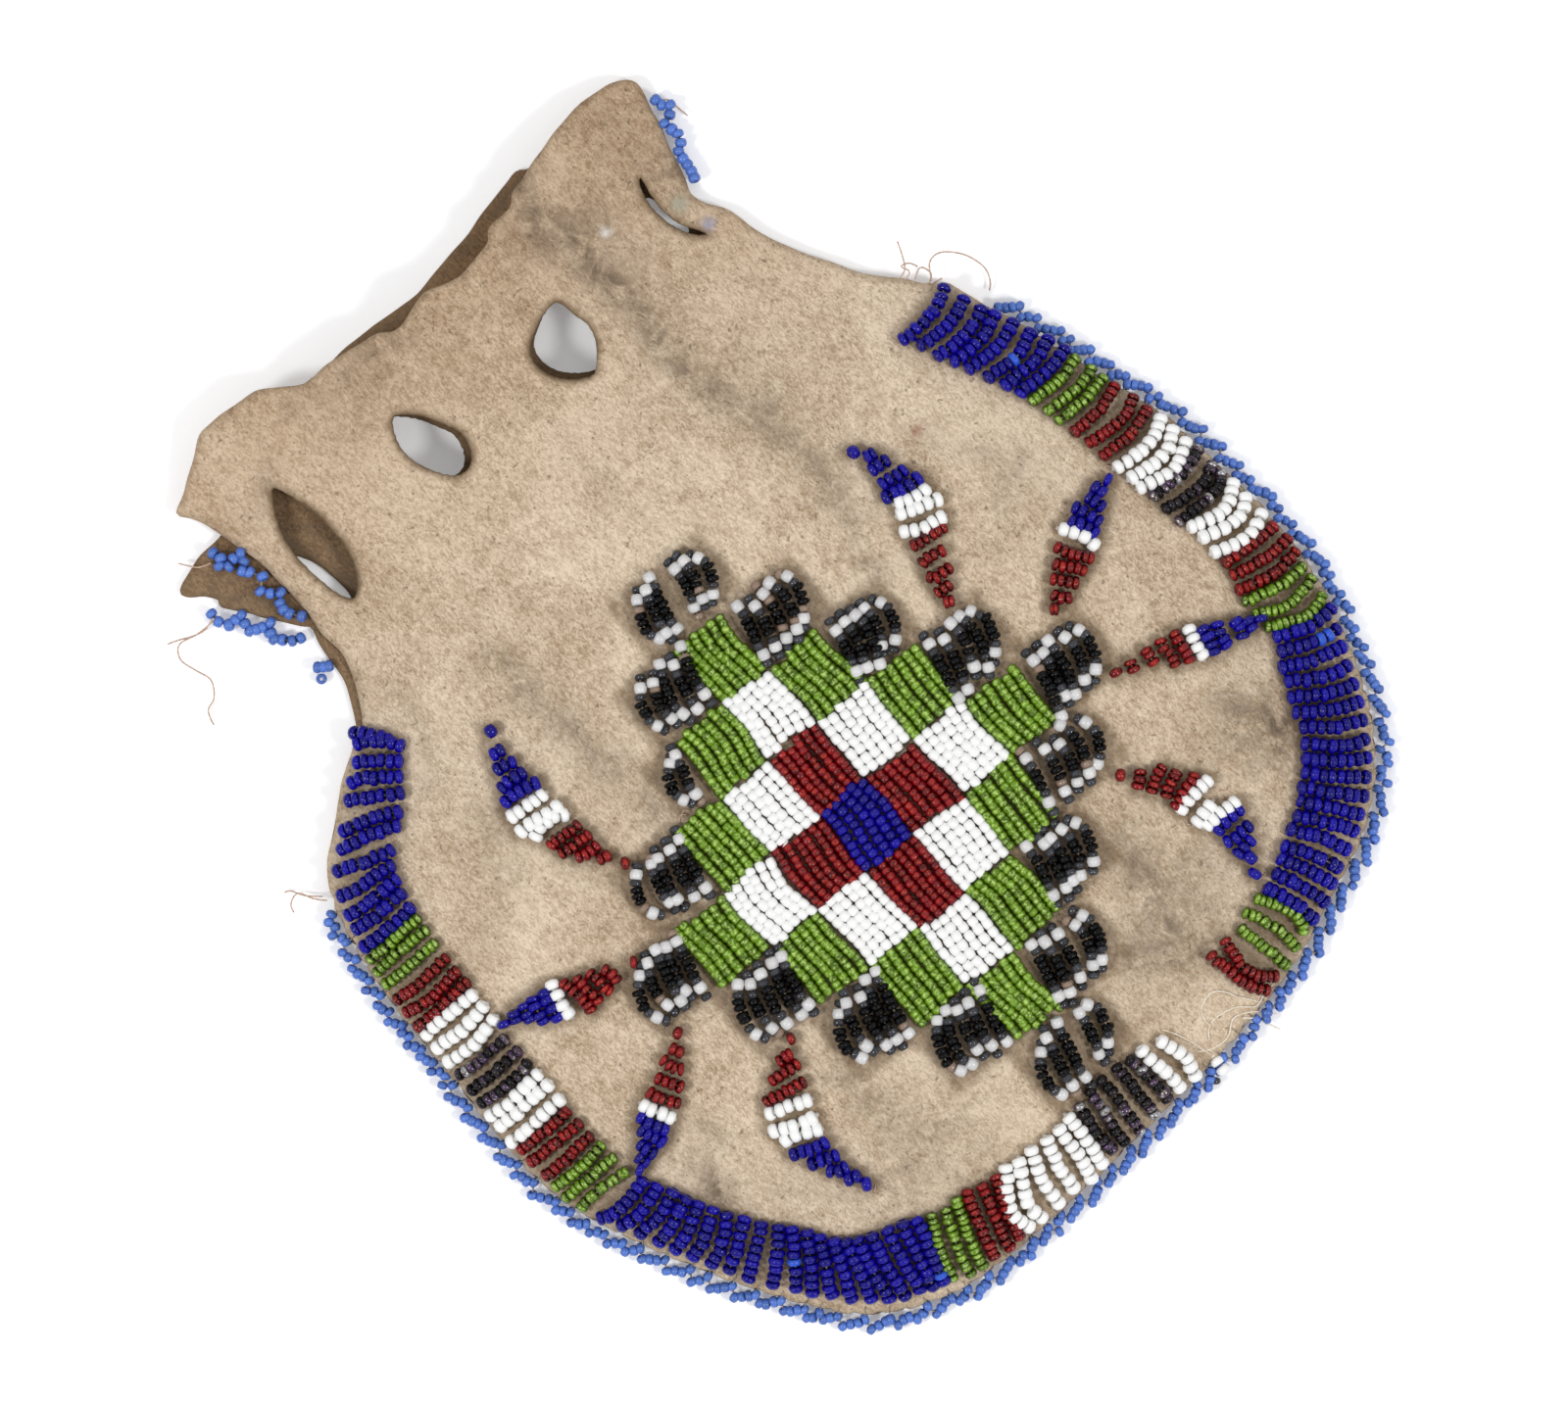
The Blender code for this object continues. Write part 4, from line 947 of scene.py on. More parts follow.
def bead_glass(kind):
    """The glass of one kind of bead, made once."""
    found = bpy.data.materials.get(kind + "_glass")
    if found:
        return found
    if kind == "iris":
        return iris_glass()
    own = np.array(getattr(bpy.context.scene.bag_beads, kind))
    # The side and glint settings paint shade on the beads' sides and glints on their tops.
    extra = {
        "cobalt": {"sides": 0.12, "rough": 0.15, "gloss": 0.36, "odd": (0.03, 0.10, 0.62)},
        "green": {
            "sides": 0.85, "rough": 0.15, "clear": 0.1, "gloss": 0.5, "painted_glint": (0.50, 0.72, 0.16),
            "painted_glints": 0.9,
        },
        "red": {
            "sides": 0.6, "rough": 0.14, "clear": 0.1, "gloss": 0.42, "painted_glint": (0.66, 0.03, 0.006),
            "painted_glints": 0.6,
        },
        "white": {"rough": 0.3, "gloss": 0.5},
        "black": {"rough": 0.14, "gloss": 0.2},
        "sky": {"sides": 0.35, "rough": 0.30, "gloss": 0.5},
        "pearl": {"rough": 0.24, "gloss": 0.5, "clear": 0.1},
        "clear": {"rough": 0.08, "gloss": 0.5, "clear": 0.5, "odd": (0.50, 0.36, 0.27)},
    }[kind]
    deep = own * {"white": 0.97, "pearl": 0.85, "green": 0.4, "red": 0.3, "sky": 0.72}.get(kind, 0.5)
    return glass(kind + "_glass", tuple(own), tuple(deep), **extra)


# Length of each kind of bead along its hole, as a share of its diameter.
BEAD_LENGTHS = {
    "cobalt": 0.545, "green": 0.47, "red": 0.485, "white": 0.64, "black": 0.505, "iris": 0.55, "sky": 0.72,
    "pearl": 0.92, "clear": 0.62,
}


def bead_size(kind):
    """Diameter and length of a kind of bead, in millimetres."""
    beads = bpy.context.scene.bag_beads
    diameter = getattr(beads, ("black" if kind == "iris" else kind) + "_size") / MM
    return diameter, diameter * BEAD_LENGTHS[kind]


class Tray:
    """Beads sorted by kind, until each kind is built as one piece."""

    def __init__(self, seed):
        self.chance = np.random.default_rng(seed)
        self.beads = {}
        self.thread = []
        self.white_glow_thread = []

    def put(self, kind, centre, axis, size, tone=None):
        """Adds one bead: where it is, which way its hole runs, and its diameter and length."""
        if tone is None:
            tone = self.chance.uniform()
        spin = self.chance.uniform(0.0, math.pi)
        self.beads.setdefault(kind, []).append((*centre, *axis, *size, tone, spin))

    def string(self, kinds, line, arch=0.45, loose=0.10, floor=None, snug=None, lift=0.0, press=1.0):
        """Threads beads of these kinds along a line on the hide, one against the next."""
        chance = self.chance
        sizes = np.array([bead_size(kind) for kind in kinds])
        sizes[:, 0] *= chance.normal(1.0, 0.03, len(kinds)).clip(0.92, 1.08)
        sizes[:, 1] *= chance.normal(1.0, 0.05, len(kinds)).clip(0.88, 1.12)
        if snug:
            sizes[:, 0] = np.minimum(sizes[:, 0], snug)
        line = evenly(np.array(line, float), 0.5)
        lengths = stations(line)
        ends = np.concatenate([[0.0], np.cumsum(sizes[:, 1])])
        ends *= lengths[-1] / ends[-1]
        sizes[:, 1] = np.diff(ends) * press
        middles = (ends[1:] + ends[:-1]) / 2
        flat = np.stack([np.interp(middles, lengths, line[:, i]) for i in (0, 1)], axis=1)
        flat += chance.normal(0.0, loose, flat.shape).clip(-0.22, 0.22)
        share = middles / lengths[-1]
        ground = hide_top(flat) if floor is None else np.full(len(flat), floor)
        height = ground + lift + sizes[:, 0] * 0.5 + arch * 4.0 * share * (1.0 - share)
        height += chance.normal(0.0, 0.05, len(flat))
        centres = np.column_stack([flat, height])
        axes = np.gradient(centres, axis=0) if len(centres) > 1 else np.array([[*(line[-1] - line[0]), 0.0]])
        axes /= np.linalg.norm(axes, axis=1)[:, None]
        axes += chance.normal(0.0, 0.07, axes.shape)
        axes /= np.linalg.norm(axes, axis=1)[:, None]
        for kind, centre, axis, size in zip(kinds, centres, axes, sizes):
            odd = kind == "cobalt" and min(math.dist(centre[:2], at) for at in ODD_BLUES) < ODD_REACH
            odd = odd or (kind == "clear" and chance.uniform() < ODD_CLEAR)
            self.put(kind, centre, axis, size, 2.0 if odd else None)
        dive = np.array([[*line[0], 0.0], *centres, [*line[-1], 0.0]])
        dive[[0, -1], 2] = (hide_top(dive[[0, -1], :2]) if floor is None else floor) - 0.1
        # A thick pale thread fills the white strands as painted light inside the glass.
        if kinds[0] == "white":
            self.white_glow_thread.append(tube(dive, WHITE_CORE, 5))
        else:
            self.thread.append(tube(dive, LANE_THREAD, 4))

    def fill(self, kind, line, **how):
        """Threads as many beads of one kind as the line holds."""
        room = stations(np.array(line, float))[-1]
        self.string([kind] * max(1, round(room / bead_size(kind)[1])), line, **how)

    def build(self, names, nodes):
        """Makes a piece of each kind of bead, named by kind, in place of the nodes given for it."""
        shape = bpy.data.meshes["seed_bead"]
        form = np.empty(len(shape.vertices) * 3)
        shape.vertices.foreach_get("co", form)
        form = form.reshape(-1, 3)
        form_faces = np.array([face.vertices[:] for face in shape.polygons])
        for kind, beads in self.beads.items():
            beads = np.array(beads)
            centre, axis, size, tone, spin = np.split(beads, (3, 6, 8, 9), axis=1)
            side = np.cross(axis, np.where(np.abs(axis[:, 2:]) < 0.9, (0.0, 0.0, 1.0), (1.0, 0.0, 0.0)))
            side /= np.linalg.norm(side, axis=1)[:, None]
            above = np.cross(axis, side)
            turned = side * np.cos(spin) + above * np.sin(spin)
            above = np.cross(axis, turned)
            points = centre[:, None] + size[:, :1, None] * (
                form[None, :, :1] * turned[:, None] + form[None, :, 1:2] * above[:, None]
            ) + size[:, 1:, None] * form[None, :, 2:] * axis[:, None]
            shift = np.arange(len(beads))[:, None, None] * len(form)
            faces = (form_faces[None] + shift).reshape(-1, form_faces.shape[1])
            # Height of each point on its bead, for painted shade on the sides and painted glints on top.
            high = (points[:, :, 2] - centre[:, 2:]) * 2.0 / size[:, :1]
            values = [("tone", np.repeat(tone.ravel(), len(form))), ("high", high.ravel())]
            mesh = new_mesh(names[kind], points.reshape(-1, 3), faces.tolist(), values)
            new_piece(names[kind], mesh, bead_glass(kind), nodes[kind])


def strands():
    """Every strand of the beadwork on the front, as the two ends of each, for the painted shade round it."""
    found = []
    for _, rows in (*RIM, *(block for ray in RAYS.values() for block in ray)):
        found += rows
    for near, far, low, high, count in PETALS:
        for x in np.linspace(near, far, count + 1):
            found.append((x, low + 0.6, x, high - 0.6))
    for column in range(7):
        reach = 3 - abs(column - 3)
        x = (COLUMN_LINES[column] + COLUMN_LINES[column + 1]) / 2
        for edge in (COLUMN_LINES[column] + 1.0, x, COLUMN_LINES[column + 1] - 1.0):
            low, high = (ROW_LINES[row] - ROW_DROP * x for row in (3 - reach, 4 + reach))
            found.append((edge, low, edge, high))
    return np.array(found)


def flat_net(outline, holes, pitch, chance):
    """Near-equal triangles inside an outline and outside its holes, with the loops round them."""
    loops = [outline, *holes]
    low = outline.min(axis=0)
    high = outline.max(axis=0)
    grid = []
    for number, y in enumerate(np.arange(low[1], high[1], pitch * math.sqrt(0.75))):
        row = np.arange(low[0] + pitch / 2 * (number % 2), high[0], pitch)
        grid.append(np.column_stack([row, np.full_like(row, y)]))
    grid = np.vstack(grid)
    grid += chance.uniform(-0.12, 0.12, grid.shape) * pitch
    grid = grid[inside(grid, outline)]
    for hole in holes:
        grid = grid[~inside(grid, hole)]
    for loop in loops:
        gap, _ = distance(grid, np.vstack([loop, loop[:1]]))
        grid = grid[gap > 0.6 * pitch]
    points = np.vstack([*loops, grid])
    edges = []
    first = 0
    for loop in loops:
        edges += [(first + i, first + (i + 1) % len(loop)) for i in range(len(loop))]
        first += len(loop)
    made = delaunay_2d_cdt([Vector(point) for point in points], edges, [], 0, 1e-6)
    flat = np.array(made[0])
    faces = np.array([face for face in made[2] if len(face) == 3])
    middles = flat[faces].mean(axis=1)
    keep = inside(middles, outline)
    for hole in holes:
        keep &= ~inside(middles, hole)
    faces = faces[keep]
    corner = flat[faces]
    one, other = corner[:, 1] - corner[:, 0], corner[:, 2] - corner[:, 0]
    area = one[:, 0] * other[:, 1] - one[:, 1] * other[:, 0]
    faces[area < 0] = faces[area < 0][:, ::-1]
    return flat, faces


def hide_sheet(name, outline, holes, low, high, attributes):
    """A closed sheet of hide between two heights, with a rounded cut edge."""
    pitch = bpy.context.scene.bag_hide.pitch / MM
    flat, faces = flat_net(outline, holes, pitch, np.random.default_rng(5))
    used = np.unique(faces)
    renumber = np.full(len(flat), -1)
    renumber[used] = np.arange(len(used))
    flat, faces = flat[used], renumber[faces]
    directed = np.concatenate([faces[:, [0, 1]], faces[:, [1, 2]], faces[:, [2, 0]]])
    keys = {tuple(edge) for edge in directed.tolist()}
    rim = np.array([edge for edge in keys if edge[::-1] not in keys])
    run = flat[rim[:, 1]] - flat[rim[:, 0]]
    outward = np.column_stack([run[:, 1], -run[:, 0]])
    outward /= np.linalg.norm(outward, axis=1)[:, None]
    push = np.zeros_like(flat)
    np.add.at(push, rim[:, 0], outward)
    np.add.at(push, rim[:, 1], outward)
    corners = np.unique(rim)
    push[corners] /= np.maximum(np.linalg.norm(push[corners], axis=1), 1e-6)[:, None]
    bottom, top = low(flat), high(flat)
    top_points = np.column_stack([flat - EDGE_ROUND * push, top])
    bottom_points = np.column_stack([flat - EDGE_ROUND * push, bottom])
    top_points[corners, 2] -= EDGE_DROP
    bottom_points[corners, 2] += EDGE_DROP
    ring = flat[corners] + EDGE_ROUND * push[corners]
    ring = np.column_stack([ring, (top[corners] + bottom[corners]) / 2])
    count = len(flat)
    ring_of = np.full(count, -1)
    ring_of[corners] = np.arange(len(corners)) + 2 * count
    a, b = rim[:, 0], rim[:, 1]
    upper = np.column_stack([b, a, ring_of[a], ring_of[b]])
    lower = np.column_stack([ring_of[b], ring_of[a], a + count, b + count])
    all_faces = faces.tolist() + (faces[:, ::-1] + count).tolist() + upper.tolist() + lower.tolist()
    points = np.vstack([top_points, bottom_points, ring])
    values = []
    for key, make in attributes:
        value = make(flat)
        values.append((key, np.concatenate([value, value, value[corners]])))
    return new_mesh(name, points, all_faces, values)


def cut_edge(points, step, wobble, chance):
    """A cut outline at an even step, with the unevenness of a hand cut and the dips of the seam stitches."""
    path = evenly(points, step, closed=True)
    count = len(path)
    turn = np.arange(count) * 2.0 * math.pi / count
    shift = np.zeros(count)
    for waves in (23, 37, 61, 97):
        shift += np.sin(waves * turn + chance.uniform(0.0, 6.28)) * chance.uniform(0.5, 1.0)
    ahead = np.roll(path, -1, axis=0) - np.roll(path, 1, axis=0)
    ahead /= np.linalg.norm(ahead, axis=1)[:, None]
    outward = np.column_stack([-ahead[:, 1], ahead[:, 0]])
    dips = STITCH_DIP * np.abs(np.cos(np.arange(count) * step / STITCH_PITCH * math.pi)) ** 8
    dips *= path[:, 1] < SEAM_TOP
    return path + outward * (shift * wobble * 0.5 - dips)[:, None]


def front_outline():
    """The front panel's cut edge, clockwise."""
    return np.vstack([smooth(LEFT_NECK + MOUTH + RIGHT_NECK), BODY_EDGE])


def back_outline():
    """The back panel's cut edge, clockwise."""
    return np.vstack([smooth(BACK_NECK), BODY_EDGE])


def dirt_and_shade(points):
    """Darkening along the dented folds, and soiling in smudges."""
    total = np.zeros(len(points))
    for width, _, darkening, line in FOLDS:
        gap, _ = distance(points, smooth(line))
        wide = 0.62 * np.exp(-((gap / (2.1 * width)) ** 2)) + 0.30 * np.exp(-((gap / (0.8 * width)) ** 2))
        total = np.maximum(total, 0.78 * darkening * wide)
    for radius, darkening, place in SMUDGES:
        gap = np.linalg.norm(points - np.array(place), axis=1)
        total += darkening * 0.55 * np.exp(-((gap / radius) ** 2))
    return np.clip(total, 0.0, 0.9)


def back_painted_shade(points):
    """Painted shade on the back, in its creases and under the front's edge, and a little darker all over."""
    total = np.full(len(points), 0.12)
    for width, darkening, line in BACK_SHADE_LINES:
        gap, _ = distance(points, smooth(line))
        total = np.maximum(total, darkening * np.exp(-((gap / width) ** 2)))
    return total


def smoke(points):
    """How much browner the hide is: most at the mouth and along both sides of the neck."""
    x, y = points.T
    neck = np.clip((y - 70.0) / 45.0, 0.0, 1.0) * np.clip((x + 62.0) / 30.0, 0.35, 1.0) * 0.66
    right = np.exp(-(((x - 52.0) / 9.0) ** 2)) * np.clip((y - 66.0) / 16.0, 0.0, 1.0) * 0.2
    left = np.exp(-(((x + 50.0) / 6.0) ** 2)) * np.clip((y - 66.0) / 20.0, 0.0, 1.0) * 0.36
    return np.clip(neck + right + left, 0.0, 1.0)


def stains(points):
    """Tinted spots, as a colour with its strength."""
    values = np.zeros((len(points), 4))
    for radius, tint, place in STAINS:
        gap = np.linalg.norm(points - np.array(place), axis=1)
        strength = 0.8 * np.exp(-((gap / radius) ** 2))
        stronger = strength > values[:, 3]
        values[stronger, :3] = tint
        values[stronger, 3] = strength[stronger]
    return values


def edge_wear_and_bead_shade(loops, beadwork=()):
    """High round the holes as wear and beside the beadwork as painted shade; lower at the outer edge."""

    def value(points):
        wear_and_bead_shade = np.zeros(len(points))
        for number, loop in enumerate(loops):
            gap, _ = distance(points, np.vstack([loop, loop[:1]]))
            most = HOLE_WEAR if number else EDGE_WEAR
            wear_and_bead_shade = np.maximum(wear_and_bead_shade, most * np.exp(-((gap / WEAR_WIDTH) ** 2)))
        nearest = np.full(len(points), np.inf)
        for strand in beadwork:
            gap, _ = distance(points, np.reshape(strand, (2, 2)))
            nearest = np.minimum(nearest, gap)
        # Painted shade: the hide is darker beside the strands of beads.
        clear = np.maximum(nearest - BEAD_COVER, 0.0)
        return np.maximum(wear_and_bead_shade, BEAD_SHADE * np.exp(-((clear / BEAD_SHADE_WIDTH) ** 2)))

    return value


class BAG_OT_model_bead(bpy.types.Operator):
    """Model one seed bead, a short barrel of glass with its hole, that all others are copied from"""

    bl_idname = "bag.model_bead"
    bl_label = "Seed bead"

    def execute(self, context):
        bpy.ops.object.select_all(action="DESELECT")
        bpy.ops.mesh.primitive_torus_add(
            major_radius=0.65, minor_radius=0.35, major_segments=12, minor_segments=6, align="WORLD"
        )
        bead = context.active_object
        bpy.ops.object.mode_set(mode="EDIT")
        bpy.ops.mesh.select_all(action="DESELECT")
        shape = bmesh.from_edit_mesh(bead.data)
        for corner in shape.verts:
            corner.select_set(0.7 < corner.co.xy.length < 0.9)
        bmesh.update_edit_mesh(bead.data)
        bpy.ops.transform.resize(value=(1.05, 1.05, 0.74), center_override=(0.0, 0.0, 0.0))
        bpy.ops.mesh.select_all(action="SELECT")
        tall = max(corner.co.z for corner in bmesh.from_edit_mesh(bead.data).verts)
        bpy.ops.transform.resize(value=(0.5, 0.5, 0.5 / tall), center_override=(0.0, 0.0, 0.0))
        bpy.ops.mesh.normals_make_consistent(inside=False)
        bpy.ops.object.mode_set(mode="OBJECT")
        mesh = bead.data
        mesh.name = "seed_bead"
        mesh.use_fake_user = True
        bpy.data.objects.remove(bead)
        return {"FINISHED"}


class BAG_OT_hide_panels(bpy.types.Operator):
    """Cut the front and the back from hide, dish the front, fold them, and soil them and paint shade on them
    """

    bl_idname = "bag.hide_panels"
    bl_label = "Hide panels"

    def execute(self, context):
        hide = context.scene.bag_hide
        chance = np.random.default_rng(11)
        thickness = hide.thickness / MM

        def hole_edge(hole, wobble=0.08):
            return cut_edge(smooth(hole, 6, closed=True), 0.6, wobble, chance)

        outline = cut_edge(front_outline(), 0.8, 0.16, chance)
        holes = [hole_edge(hole) for hole in (LACING_HOLE, LACING_HOLE_RIGHT, SLIT, SLIT_RIGHT)]
        soil_and_shade = (
            ("dirt_and_shade", dirt_and_shade), ("smoke", smoke), ("stain", stains),
            ("wear_and_bead_shade", edge_wear_and_bead_shade([outline, *holes], strands())),
        )
        mesh = hide_sheet(
            "hide_front", outline, holes, lambda flat: underside(flat)[0] + relief(flat), hide_top, soil_and_shade
        )
        look = suede("suede", hide.light, hide.tan)
        front = new_piece("hide_front", mesh, look, ["front_panel"])
        back_edge = cut_edge(back_outline(), 0.8, 0.14, chance)
        shifted = zip((LACING_HOLE, LACING_HOLE_RIGHT), BACK_HOLE_SHIFT)
        back_holes = [hole_edge(np.array(hole) + shift) for hole, shift in shifted]
        back_holes += [hole_edge(hole, 0.05) for hole in (BACK_SLIT, BACK_SLIT_RIGHT)]
        # The back's dark lines are painted shade in its creases and under the front's edge.
        soil_and_shade = (
            ("dirt_and_shade", back_painted_shade),
            ("smoke", lambda flat: np.clip(BACK_SMOKE + smoke(flat), 0.0, 1.0)),
            ("stain", lambda flat: np.zeros((len(flat), 4))),
            ("wear_and_bead_shade", edge_wear_and_bead_shade([back_edge, *back_holes])),
        )
        mesh = hide_sheet(
            "hide_back", back_edge, back_holes, lambda flat: np.zeros(len(flat)),
            lambda flat: np.full(len(flat), thickness), soil_and_shade,
        )
        look = suede("suede_back", hide.inside, hide.inside_dark)
        back = new_piece("hide_back", mesh, look, ["back_panel"])
        return {"FINISHED"}


def longer(row, first, last):
    """A strand's two ends moved outwards along it, by so much at each end."""
    start, end = np.array(row[:2]), np.array(row[2:])
    ahead = (end - start) / np.linalg.norm(end - start)
    return (*(start - ahead * first), *(end + ahead * last))


def bowed(x1, y1, x2, y2, bow, at=0.5):
    """A line from one point to another that bows sideways; positive is to its left."""
    start, end = np.array((x1, y1)), np.array((x2, y2))
    run = end - start
    across = np.array((-run[1], run[0])) / np.linalg.norm(run)
    return smooth([start, start + run * at + across * bow, end], 6)


def thread_piece(name, parts, look="lane_thread", pale=(0.42, 0.37, 0.29), dark=(0.17, 0.13, 0.09)):
    """The thread of one piece of beadwork, which holds its beads and shows between them."""
    material = bpy.data.materials.get(look) or thread_look(look, pale, dark)
    points, faces = join(parts)
    return new_piece(name, new_mesh(name, points, faces), material)


def tray_threads(name, tray):
    """The threads of a tray's strands: for the white beads a thick pale one, painted light inside the glass.
    """
    thread_piece(name + "_thread", tray.thread)
    if tray.white_glow_thread:
        thread_piece(
            name + "_white_glow_thread", tray.white_glow_thread, "white_glow_thread", (0.88, 0.87, 0.84), (0.72, 0.70, 0.66)
        )


def sway(points):
    """How far the hide's slackness has drawn the checks out of their straight grid, as a smooth wave."""
    x, y = points.T
    across = 0.32 * np.sin(2.0 * math.pi * (y / 24.0 + x / 46.0) + 0.7)
    across += 0.16 * np.sin(2.0 * math.pi * y / 11.0 + x / 6.0)
    along = 0.26 * np.sin(2.0 * math.pi * x / 19.0 + y / 9.0) + 0.14 * np.sin(2.0 * math.pi * x / 7.3)
    return np.column_stack([across, along])


class BAG_OT_medallion(bpy.types.Operator):
    """String the stepped diamond of colour checks"""

    bl_idname = "bag.medallion"
    bl_label = "Medallion checks"

    def execute(self, context):
        tray = Tray(21)
        chance = tray.chance
        for column in range(7):
            left, right = COLUMN_LINES[column : column + 2]
            for row in range(7):
                ring = abs(column - 3) + abs(row - 3)
                if ring > 3:
                    continue
                kind, count = RINGS[ring]
                pitch = (right - left) / count
                bow, lean = chance.normal(0.0, 0.25), chance.normal(0.0, 0.2)
                shift = chance.normal(0.0, 0.15, 2)
                for strand in range(count):
                    x = left + pitch * (strand + 0.5) + chance.normal(0.0, 0.05)
                    low, high = (ROW_LINES[row + end] - ROW_DROP * x for end in (0, 1))
                    low += 0.06 + shift[0] + chance.normal(0.0, 0.25)
                    high -= 0.06 + shift[1] + chance.normal(0.0, 0.25)
                    line = bowed(x - lean * 0.5, low, x + lean * 0.5, high, bow + chance.normal(0.0, 0.08))
                    line = line + sway(line)
                    tray.fill(kind, line, arch=0.55, loose=0.05, snug=pitch * 1.08, press=PRESSED[kind])
        lanes = {}
        for ring, (kind, _) in enumerate(RINGS):
            lanes[kind] = [f"lane_{5 - ring + step}" for step in range(2 * ring + 1)]
        tray.build({kind: f"medallion_{kind}" for kind in lanes}, lanes)
        tray_threads("medallion", tray)
        return {"FINISHED"}


class BAG_OT_petals(bpy.types.Operator):
    """String the petals round the medallion, black between pearl tips"""

    bl_idname = "bag.petals"
    bl_label = "Petals"

    def execute(self, context):
        tray = Tray(31)
        chance = tray.chance
        for near, far, low, high, count in PETALS:
            out = math.copysign(1.0, far - near)
            middle = (near + far) / 2
            for strand in range(count):
                outer = (strand / max(count - 1, 1)) ** 2
                spread = (abs(far - near) - 3.9) * strand / max(count - 1, 1)
                x = near + out * (1.2 + spread) + chance.normal(0.0, 0.18)
                slant = -ROW_DROP * (x - middle)
                foot = low + slant + 1.0 * outer + chance.normal(0.0, 0.4)
                head = high + slant - 1.0 * outer + chance.normal(0.0, 0.4)
                bow = out * (0.5 + 1.1 * outer) + chance.normal(0.0, 0.25)
                tip = x - out * 0.8 * outer
                lean = PETAL_LEAN * (high - low) / 2
                line = smooth([
                    (tip + lean, foot), (x + lean * 0.5 + bow * 0.75, foot * 0.72 + head * 0.28),
                    (x + bow, (foot + head) / 2), (x - lean * 0.5 + bow * 0.75, foot * 0.28 + head * 0.72),
                    (tip - lean, head),
                ])
                tips = ["clear", "pearl", "clear"], ["clear", "pearl", "clear"]
                if chance.uniform() < 0.3:
                    tips = ["pearl", "clear"], ["clear", "pearl", "clear"]
                if chance.uniform() < 0.3:
                    tips = tips[0], ["clear", "pearl"]
                taken = sum(bead_size(kind)[1] for kind in tips[0] + tips[1])
                room = stations(line)[-1] - taken
                blacks = max(3, round(room / bead_size("black")[1] + 0.3))
                lift = 0.45 * (chance.uniform() < 0.35)
                tray.string([*tips[0], *["black"] * blacks, *tips[1]], line, arch=0.7, loose=0.10, lift=lift)
        lanes = [f"lane_{lane}" for lane in range(1, 10)]
        kinds = ("black", "pearl", "clear")
        tray.build({kind: f"petals_{kind}" for kind in kinds}, {kind: lanes for kind in kinds})
        tray_threads("petals", tray)
        return {"FINISHED"}


class BAG_OT_rays(bpy.types.Operator):
    """String the eight rays in red, white and cobalt"""

    bl_idname = "bag.rays"
    bl_label = "Rays"

    def execute(self, context):
        tray = Tray(41)
        for ray in RAYS.values():
            for kind, rows in ray:
                for row in rows:
                    room = math.dist(row[:2], row[2:])
                    bow = tray.chance.normal(0.0, 0.06) * min(room, 6.0)
                    tray.fill(kind, bowed(*row, bow), arch=0.5)
        nodes = ["ray_" + name for name in RAYS]
        kinds = ("red", "white", "cobalt")
        tray.build({kind: f"rays_{kind}" for kind in kinds}, {kind: nodes for kind in kinds})
        tray_threads("rays", tray)
        return {"FINISHED"}


class BAG_OT_rim(bpy.types.Operator):
    """String the striped rim, block by block"""

    bl_idname = "bag.rim"
    bl_label = "Rim"

    def execute(self, context):
        tray = Tray(51)
        chance = tray.chance
        nodes = {}
        for number, ((colour, rows), (low, high)) in enumerate(zip(RIM, RIM_BOWS), 1):
            kind = "iris" if colour == "black" else colour
            nodes.setdefault(kind, []).append(f"rim_{number:02d}_{colour}")
            drift = 0.0
            for index, row in enumerate(rows):
                drift = 0.6 * drift + chance.normal(0.0, 0.22)
                bow = low + (high - low) * index / max(len(rows) - 1, 1) + drift
                bare = seam_distance(np.array([row[2:]]))[0]
                row = longer(row, RIM_REACH, np.clip(bare - RIM_MARGIN, 0.3, 1.3))
                tray.fill(kind, bowed(*row, bow, chance.uniform(0.52, 0.68)), arch=0.6)
        tray.build({kind: f"rim_beads_{kind}" for kind in nodes}, nodes)
        tray_threads("rim", tray)
        return {"FINISHED"}


def offset_path(path, reach):
    """The path moved outwards by the reach, which may differ from point to point."""
    ahead = np.gradient(path, axis=0)
    ahead /= np.linalg.norm(ahead, axis=1)[:, None]
    return path + np.column_stack([-ahead[:, 1], ahead[:, 0]]) * np.reshape(reach, (-1, 1))


